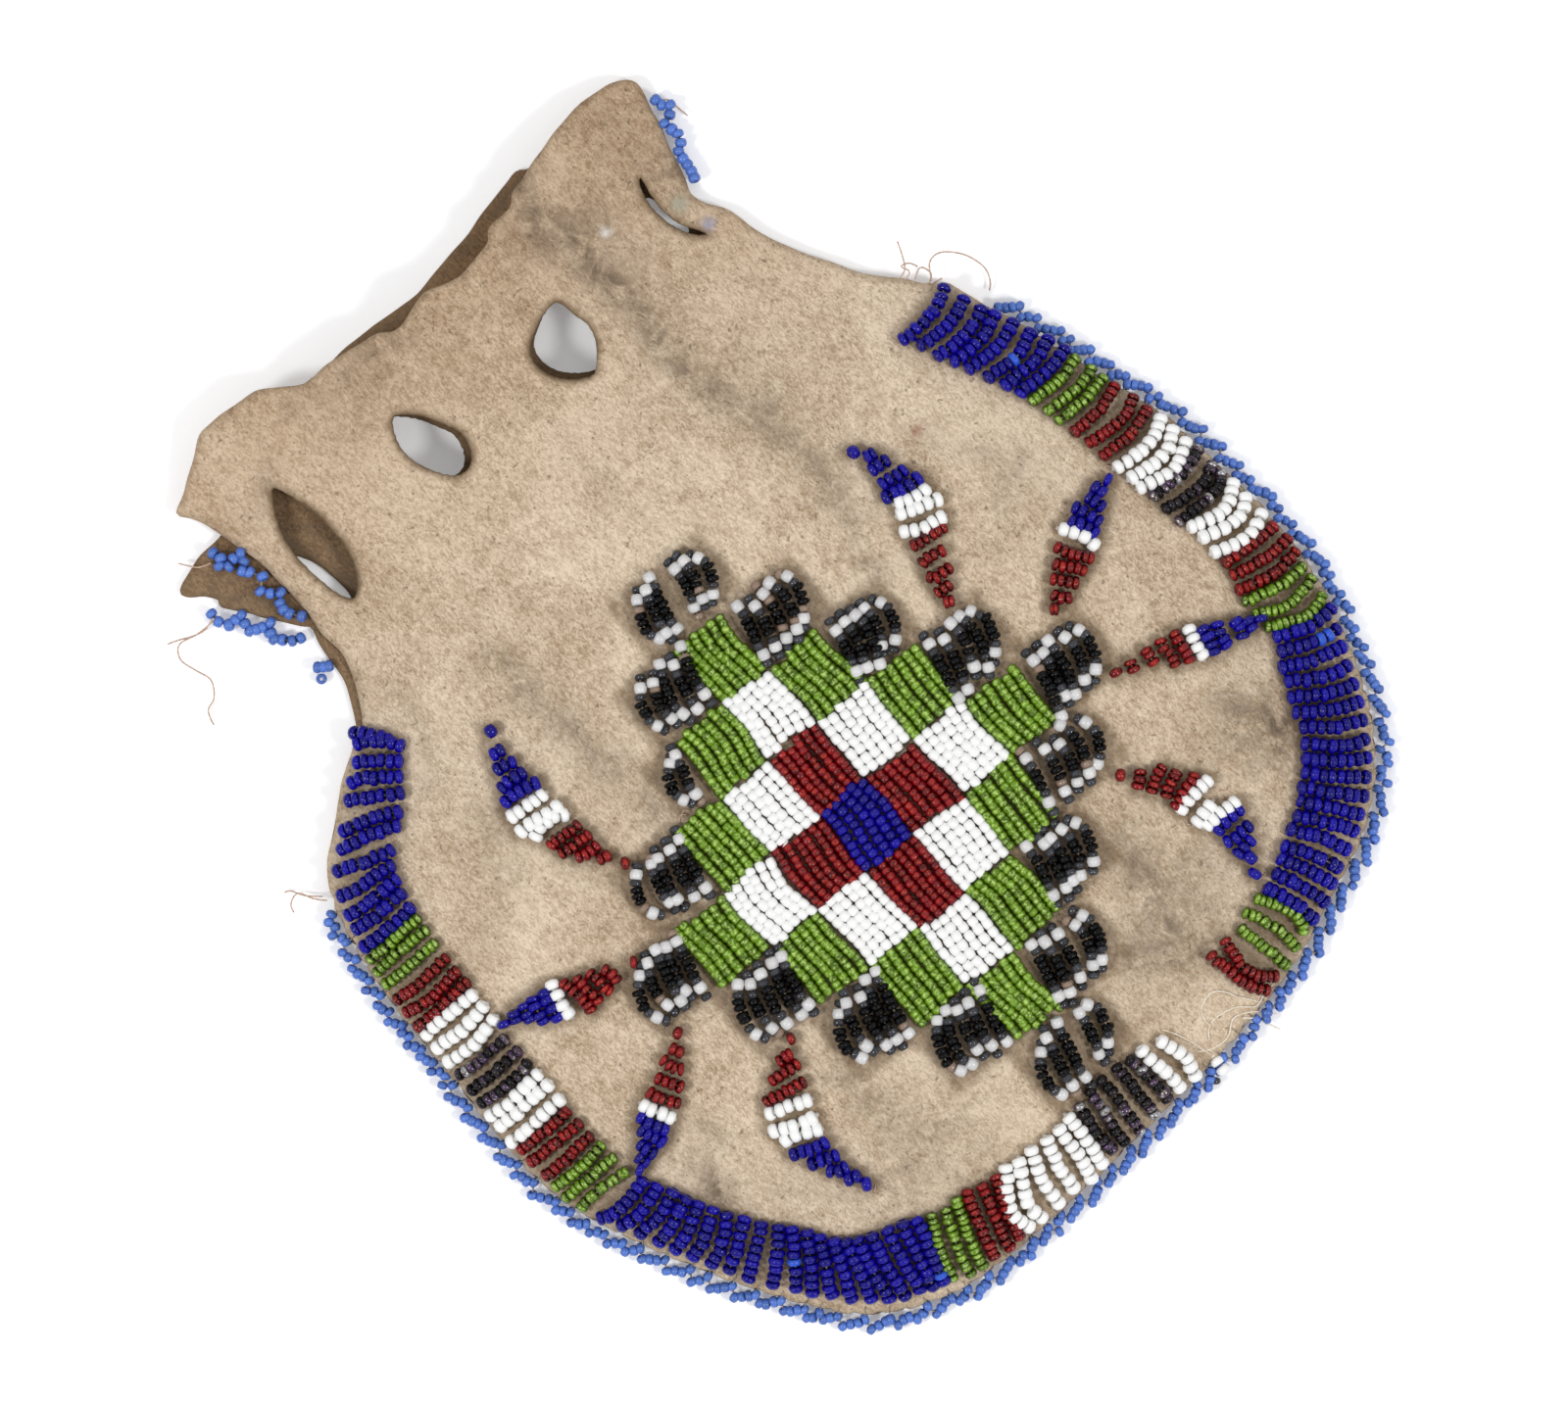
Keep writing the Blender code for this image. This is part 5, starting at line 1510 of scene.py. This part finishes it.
class BAG_OT_edging(bpy.types.Operator):
    """String the light blue edging that sews the seam, and its loose strings at the neck"""

    bl_idname = "bag.edging"
    bl_label = "Edging"

    def execute(self, context):
        tray = Tray(61)
        chance = tray.chance
        path = evenly(BODY_EDGE, 0.25)
        first, last = (np.linalg.norm(path - np.array(end), axis=1).argmin() for end in EDGING_ENDS)
        path = path[first : last + 1]
        lengths = stations(path)
        at, side = [], []
        here, turn = EDGING_START, 0
        while here < lengths[-1]:
            at.append(here)
            side.append(EDGING_SWING[turn])
            turn = (turn + (1 if chance.uniform() < EDGING_REGULAR else 2)) % len(EDGING_SWING)
            here += EDGING_STEP + chance.normal(0.0, 0.10)
        at, side = np.array(at), np.array(side)
        edge = np.stack([np.interp(at, lengths, path[:, i]) for i in (0, 1)], axis=1)
        line = offset_path(edge, EDGING_OUT + side + chance.normal(0.0, 0.14, len(side)))
        height = 1.5 - 0.4 * side + chance.normal(0.0, 0.12, len(side))
        centres = np.column_stack([line, height])
        self.beads(tray, centres)
        tray.build({"sky": "edging_beads_seam"}, {"sky": ["edging_seam"]})
        threads = [tube(centres, EDGING_THREAD, 4)]
        inner = offset_path(edge, -STITCH_REACH)
        for index in np.flatnonzero(side < -0.5):
            entry = inner[index] + chance.normal(0.0, 0.25, 2)
            half = (entry + edge[index]) / 2
            top = hide_top([entry, half])
            stitch = [
                (*entry, top[0] - 0.25), (*half, top[1] + 0.06), (*edge[index], top[1] - 0.55),
                centres[index],
            ]
            threads.append(tube(smooth(stitch, 2), STITCH_THREAD, 4))
        strings = (
            ("top_right", EDGING_TOP_RIGHT, 1.9), ("left_front", EDGING_LEFT_FRONT, 2.3),
            ("left_back", EDGING_LEFT_BACK, 1.2), ("loop", EDGING_LOOP, 1.6),
        )
        for seed, (name, points, height) in enumerate(strings):
            tray = Tray(62 + seed)
            flat = np.array(points)
            level = np.full(len(flat), height + 0.2)
            if name == "left_back":
                resting = inside(flat, back_outline())
                level[resting] = context.scene.bag_hide.thickness / MM + 1.0
            else:
                covered = inside(flat, front_outline())
                level[covered] = np.maximum(level[covered], hide_top(flat)[covered] + 0.95)
            centres = np.column_stack([flat, level + tray.chance.normal(0.0, 0.08, len(flat))])
            self.beads(tray, centres, 1.1)
            if name == "loop":
                tray.put("sky", (*FLAT_BEAD, 1.0), (0.05, 0.08, 1.0), bead_size("sky"))
            tray.build({"sky": "edging_beads_" + name}, {"sky": ["edging_" + name]})
            threads.append(tube(centres, EDGING_THREAD, 4))
        thread_piece("edging_thread", threads)
        return {"FINISHED"}

    def beads(self, tray, centres, grown=1.0):
        """Puts a light blue bead at each centre, its hole along the thread, that much bigger than most."""
        axes = np.gradient(centres, axis=0)
        axes /= np.linalg.norm(axes, axis=1)[:, None]
        turned = np.diff(centres, axis=0)
        turned /= np.linalg.norm(turned, axis=1)[:, None]
        diameter, long = np.array(bead_size("sky")) * grown
        for index, (centre, axis) in enumerate(zip(centres, axes)):
            if index < len(turned) and tray.chance.uniform() < 0.5:
                axis = axis * 0.5 + turned[index] * 0.5
            axis = axis + tray.chance.normal(0.0, 0.14, 3)
            axis /= np.linalg.norm(axis)
            size = diameter * tray.chance.normal(1.0, 0.04), long * tray.chance.normal(1.0, 0.05)
            tray.put("sky", centre, axis, size)


class BAG_OT_threads(bpy.types.Operator):
    """Lay the loose threads, the torn ends and the beads that hang on them"""

    bl_idname = "bag.threads"
    bl_label = "Loose threads"

    def execute(self, context):
        chance = np.random.default_rng(71)
        parts, ivory = [], []
        for high, low, line in THREADS:
            flat = evenly(smooth(line, 6), 0.5)
            share = np.linspace(0.0, 1.0, len(flat))
            height = high + (low - high) * share
            on_hide = inside(flat, front_outline())
            if on_hide.any():
                height[on_hide] = np.maximum(height[on_hide], hide_top(flat[on_hide]) + 0.15)
            height += 0.15 * np.sin(share * 9.0 + chance.uniform(0.0, 6.0))
            kept = ivory if line[0][1] < 0.0 else parts
            kept.append(tube(np.column_stack([flat, np.maximum(height, 0.15)]), LOOSE_THREAD, 5))
        for line in SNAGS:
            flat = evenly(smooth(line, 6), 0.3)
            height = hide_top(flat) + 0.1 + 0.35 * np.sin(np.linspace(0.2, 2.9, len(flat)))
            parts.append(tube(np.column_stack([flat, height]), SNAG_THREAD, 5))
        thread_piece("loose_threads", parts, "loose_thread", (0.70, 0.52, 0.40), (0.42, 0.26, 0.18))
        thread_piece("ivory_threads", ivory, "ivory_thread", (0.92, 0.85, 0.74), (0.72, 0.62, 0.48))
        tray = Tray(72)
        tray.string(["white"] * HANGING_WHITE_COUNT, HANGING_WHITE, arch=0.0, floor=0.5)
        tray.put("clear", (*HANGING_CLEAR, 1.2), (0.6, 0.7, 0.1), bead_size("clear"))
        tray.build({"white": "hanging_white", "clear": "hanging_clear"}, {"white": [], "clear": []})
        return {"FINISHED"}


class BAG_OT_stage(bpy.types.Operator):
    """Set the pale floor, the soft light and the camera"""

    bl_idname = "bag.stage"
    bl_label = "Stage"

    def execute(self, context):
        scene = context.scene
        stage = scene.bag_stage
        scene.view_settings.view_transform = "Standard"
        bpy.ops.object.select_all(action="DESELECT")
        bpy.ops.mesh.primitive_plane_add(size=1.0, location=(0.0, 0.0, -FLOOR_DROP))
        floor = context.active_object
        floor.name = "floor"
        bpy.ops.object.mode_set(mode="EDIT")
        bpy.ops.transform.resize(value=(FLOOR_WIDTH, FLOOR_WIDTH, 1.0))
        bpy.ops.mesh.subdivide(number_cuts=2)
        bpy.ops.object.mode_set(mode="OBJECT")
        floor.data.materials.append(self.floor_look(stage.floor))
        self.sky_light(scene, stage.sky)
        up = math.pi / 2 + stage.turn
        self.lamp(scene, "key_lamp", up, KEY_RISE, KEY_SIZE, stage.key)
        self.lamp(scene, "left_lamp", up + SIDE_TURN, SIDE_RISE, SIDE_SIZE, stage.side)
        self.lamp(scene, "right_lamp", up - SIDE_TURN, SIDE_RISE, SIDE_SIZE, stage.side)
        camera = bpy.data.objects.new("camera", bpy.data.cameras.new("camera"))
        scene.collection.objects.link(camera)
        camera.location = (*VIEW_CENTRE, stage.distance + 0.005)
        camera.rotation_euler = (0.0, 0.0, stage.turn)
        camera.data.sensor_width = SENSOR
        camera.data.lens = SENSOR * stage.distance / stage.width
        camera.data.clip_start = 0.05
        scene.camera = camera
        return {"FINISHED"}

    def lamp(self, scene, name, towards, rise, size, level):
        """A round soft light that points at the bag, with the level it gives to a level surface."""
        out = LAMP_REACH * math.cos(rise)
        lamp = bpy.data.objects.new(name, bpy.data.lights.new(name, "AREA"))
        scene.collection.objects.link(lamp)
        lamp.location = (out * math.cos(towards), out * math.sin(towards), LAMP_REACH * math.sin(rise))
        lamp.rotation_euler = (-lamp.location).to_track_quat("-Z", "Y").to_euler()
        lamp.data.shape = "DISK"
        lamp.data.size = size
        lamp.data.energy = level * math.pi**2 * LAMP_REACH**2 / math.sin(rise)

    def seen(self, tree):
        """1 for what the camera sees itself or in a reflection, 0 for light that falls on things."""
        path = tree.nodes.new("ShaderNodeLightPath")
        some = maths(tree, "MAXIMUM", path.outputs["Is Camera Ray"], path.outputs["Is Glossy Ray"])
        return maths(tree, "MAXIMUM", some, path.outputs["Is Transmission Ray"])

    def floor_look(self, glow):
        """A white floor that glows a little to the camera, so that only the shadow shows."""
        material, tree, shader = node_tree("floor")
        set_inputs(shader, {
            "Base Color": (0.99, 0.99, 1.0, 1.0), "Roughness": 1.0, "Specular IOR Level": 0.0,
            "Emission Color": (1.0, 1.0, 1.0, 1.0),
        })
        lit = maths(tree, "MULTIPLY", self.seen(tree), glow)
        tree.links.new(lit, shader.inputs["Emission Strength"])
        return material

    def sky_light(self, scene, level):
        """Even light from all sides."""
        world = bpy.data.worlds.new("studio")
        scene.world = world
        world.use_nodes = True
        background = world.node_tree.nodes["Background"]
        set_inputs(background, {"Color": (1.0, 1.0, 1.0, 1.0), "Strength": level})


class BAG_PT_panel(bpy.types.Panel):
    """The steps that make the bag"""

    bl_label = "Beaded Medicine Bag"
    bl_idname = "BAG_PT_panel"
    bl_space_type = "VIEW_3D"
    bl_region_type = "UI"
    bl_category = "Bag"

    def draw(self, context):
        column = self.layout.column(align=True)
        for step in STEPS:
            column.operator(step.bl_idname)
        for settings in (context.scene.bag_hide, context.scene.bag_beads, context.scene.bag_stage):
            box = self.layout.box()
            for name in settings.bl_rna.properties.keys():
                if name not in ("rna_type", "name"):
                    box.prop(settings, name)


SETTINGS = (HideSettings, BeadSettings, StageSettings)
STEPS = (
    BAG_OT_model_bead, BAG_OT_hide_panels, BAG_OT_medallion, BAG_OT_petals, BAG_OT_rays, BAG_OT_rim,
    BAG_OT_edging, BAG_OT_threads, BAG_OT_stage,
)


def register():
    for made in (*SETTINGS, *STEPS, BAG_PT_panel):
        bpy.utils.register_class(made)
    bpy.types.Scene.bag_hide = bpy.props.PointerProperty(type=HideSettings)
    bpy.types.Scene.bag_beads = bpy.props.PointerProperty(type=BeadSettings)
    bpy.types.Scene.bag_stage = bpy.props.PointerProperty(type=StageSettings)


def unregister():
    for name in ("bag_stage", "bag_beads", "bag_hide"):
        delattr(bpy.types.Scene, name)
    for made in reversed((*SETTINGS, *STEPS, BAG_PT_panel)):
        bpy.utils.unregister_class(made)


def main():
    register()
    bpy.ops.bag.model_bead()
    bpy.ops.bag.hide_panels()
    bpy.ops.bag.medallion()
    bpy.ops.bag.petals()
    bpy.ops.bag.rays()
    bpy.ops.bag.rim()
    bpy.ops.bag.edging()
    bpy.ops.bag.threads()
    bpy.ops.bag.stage()


if __name__ == "__main__":
    main()
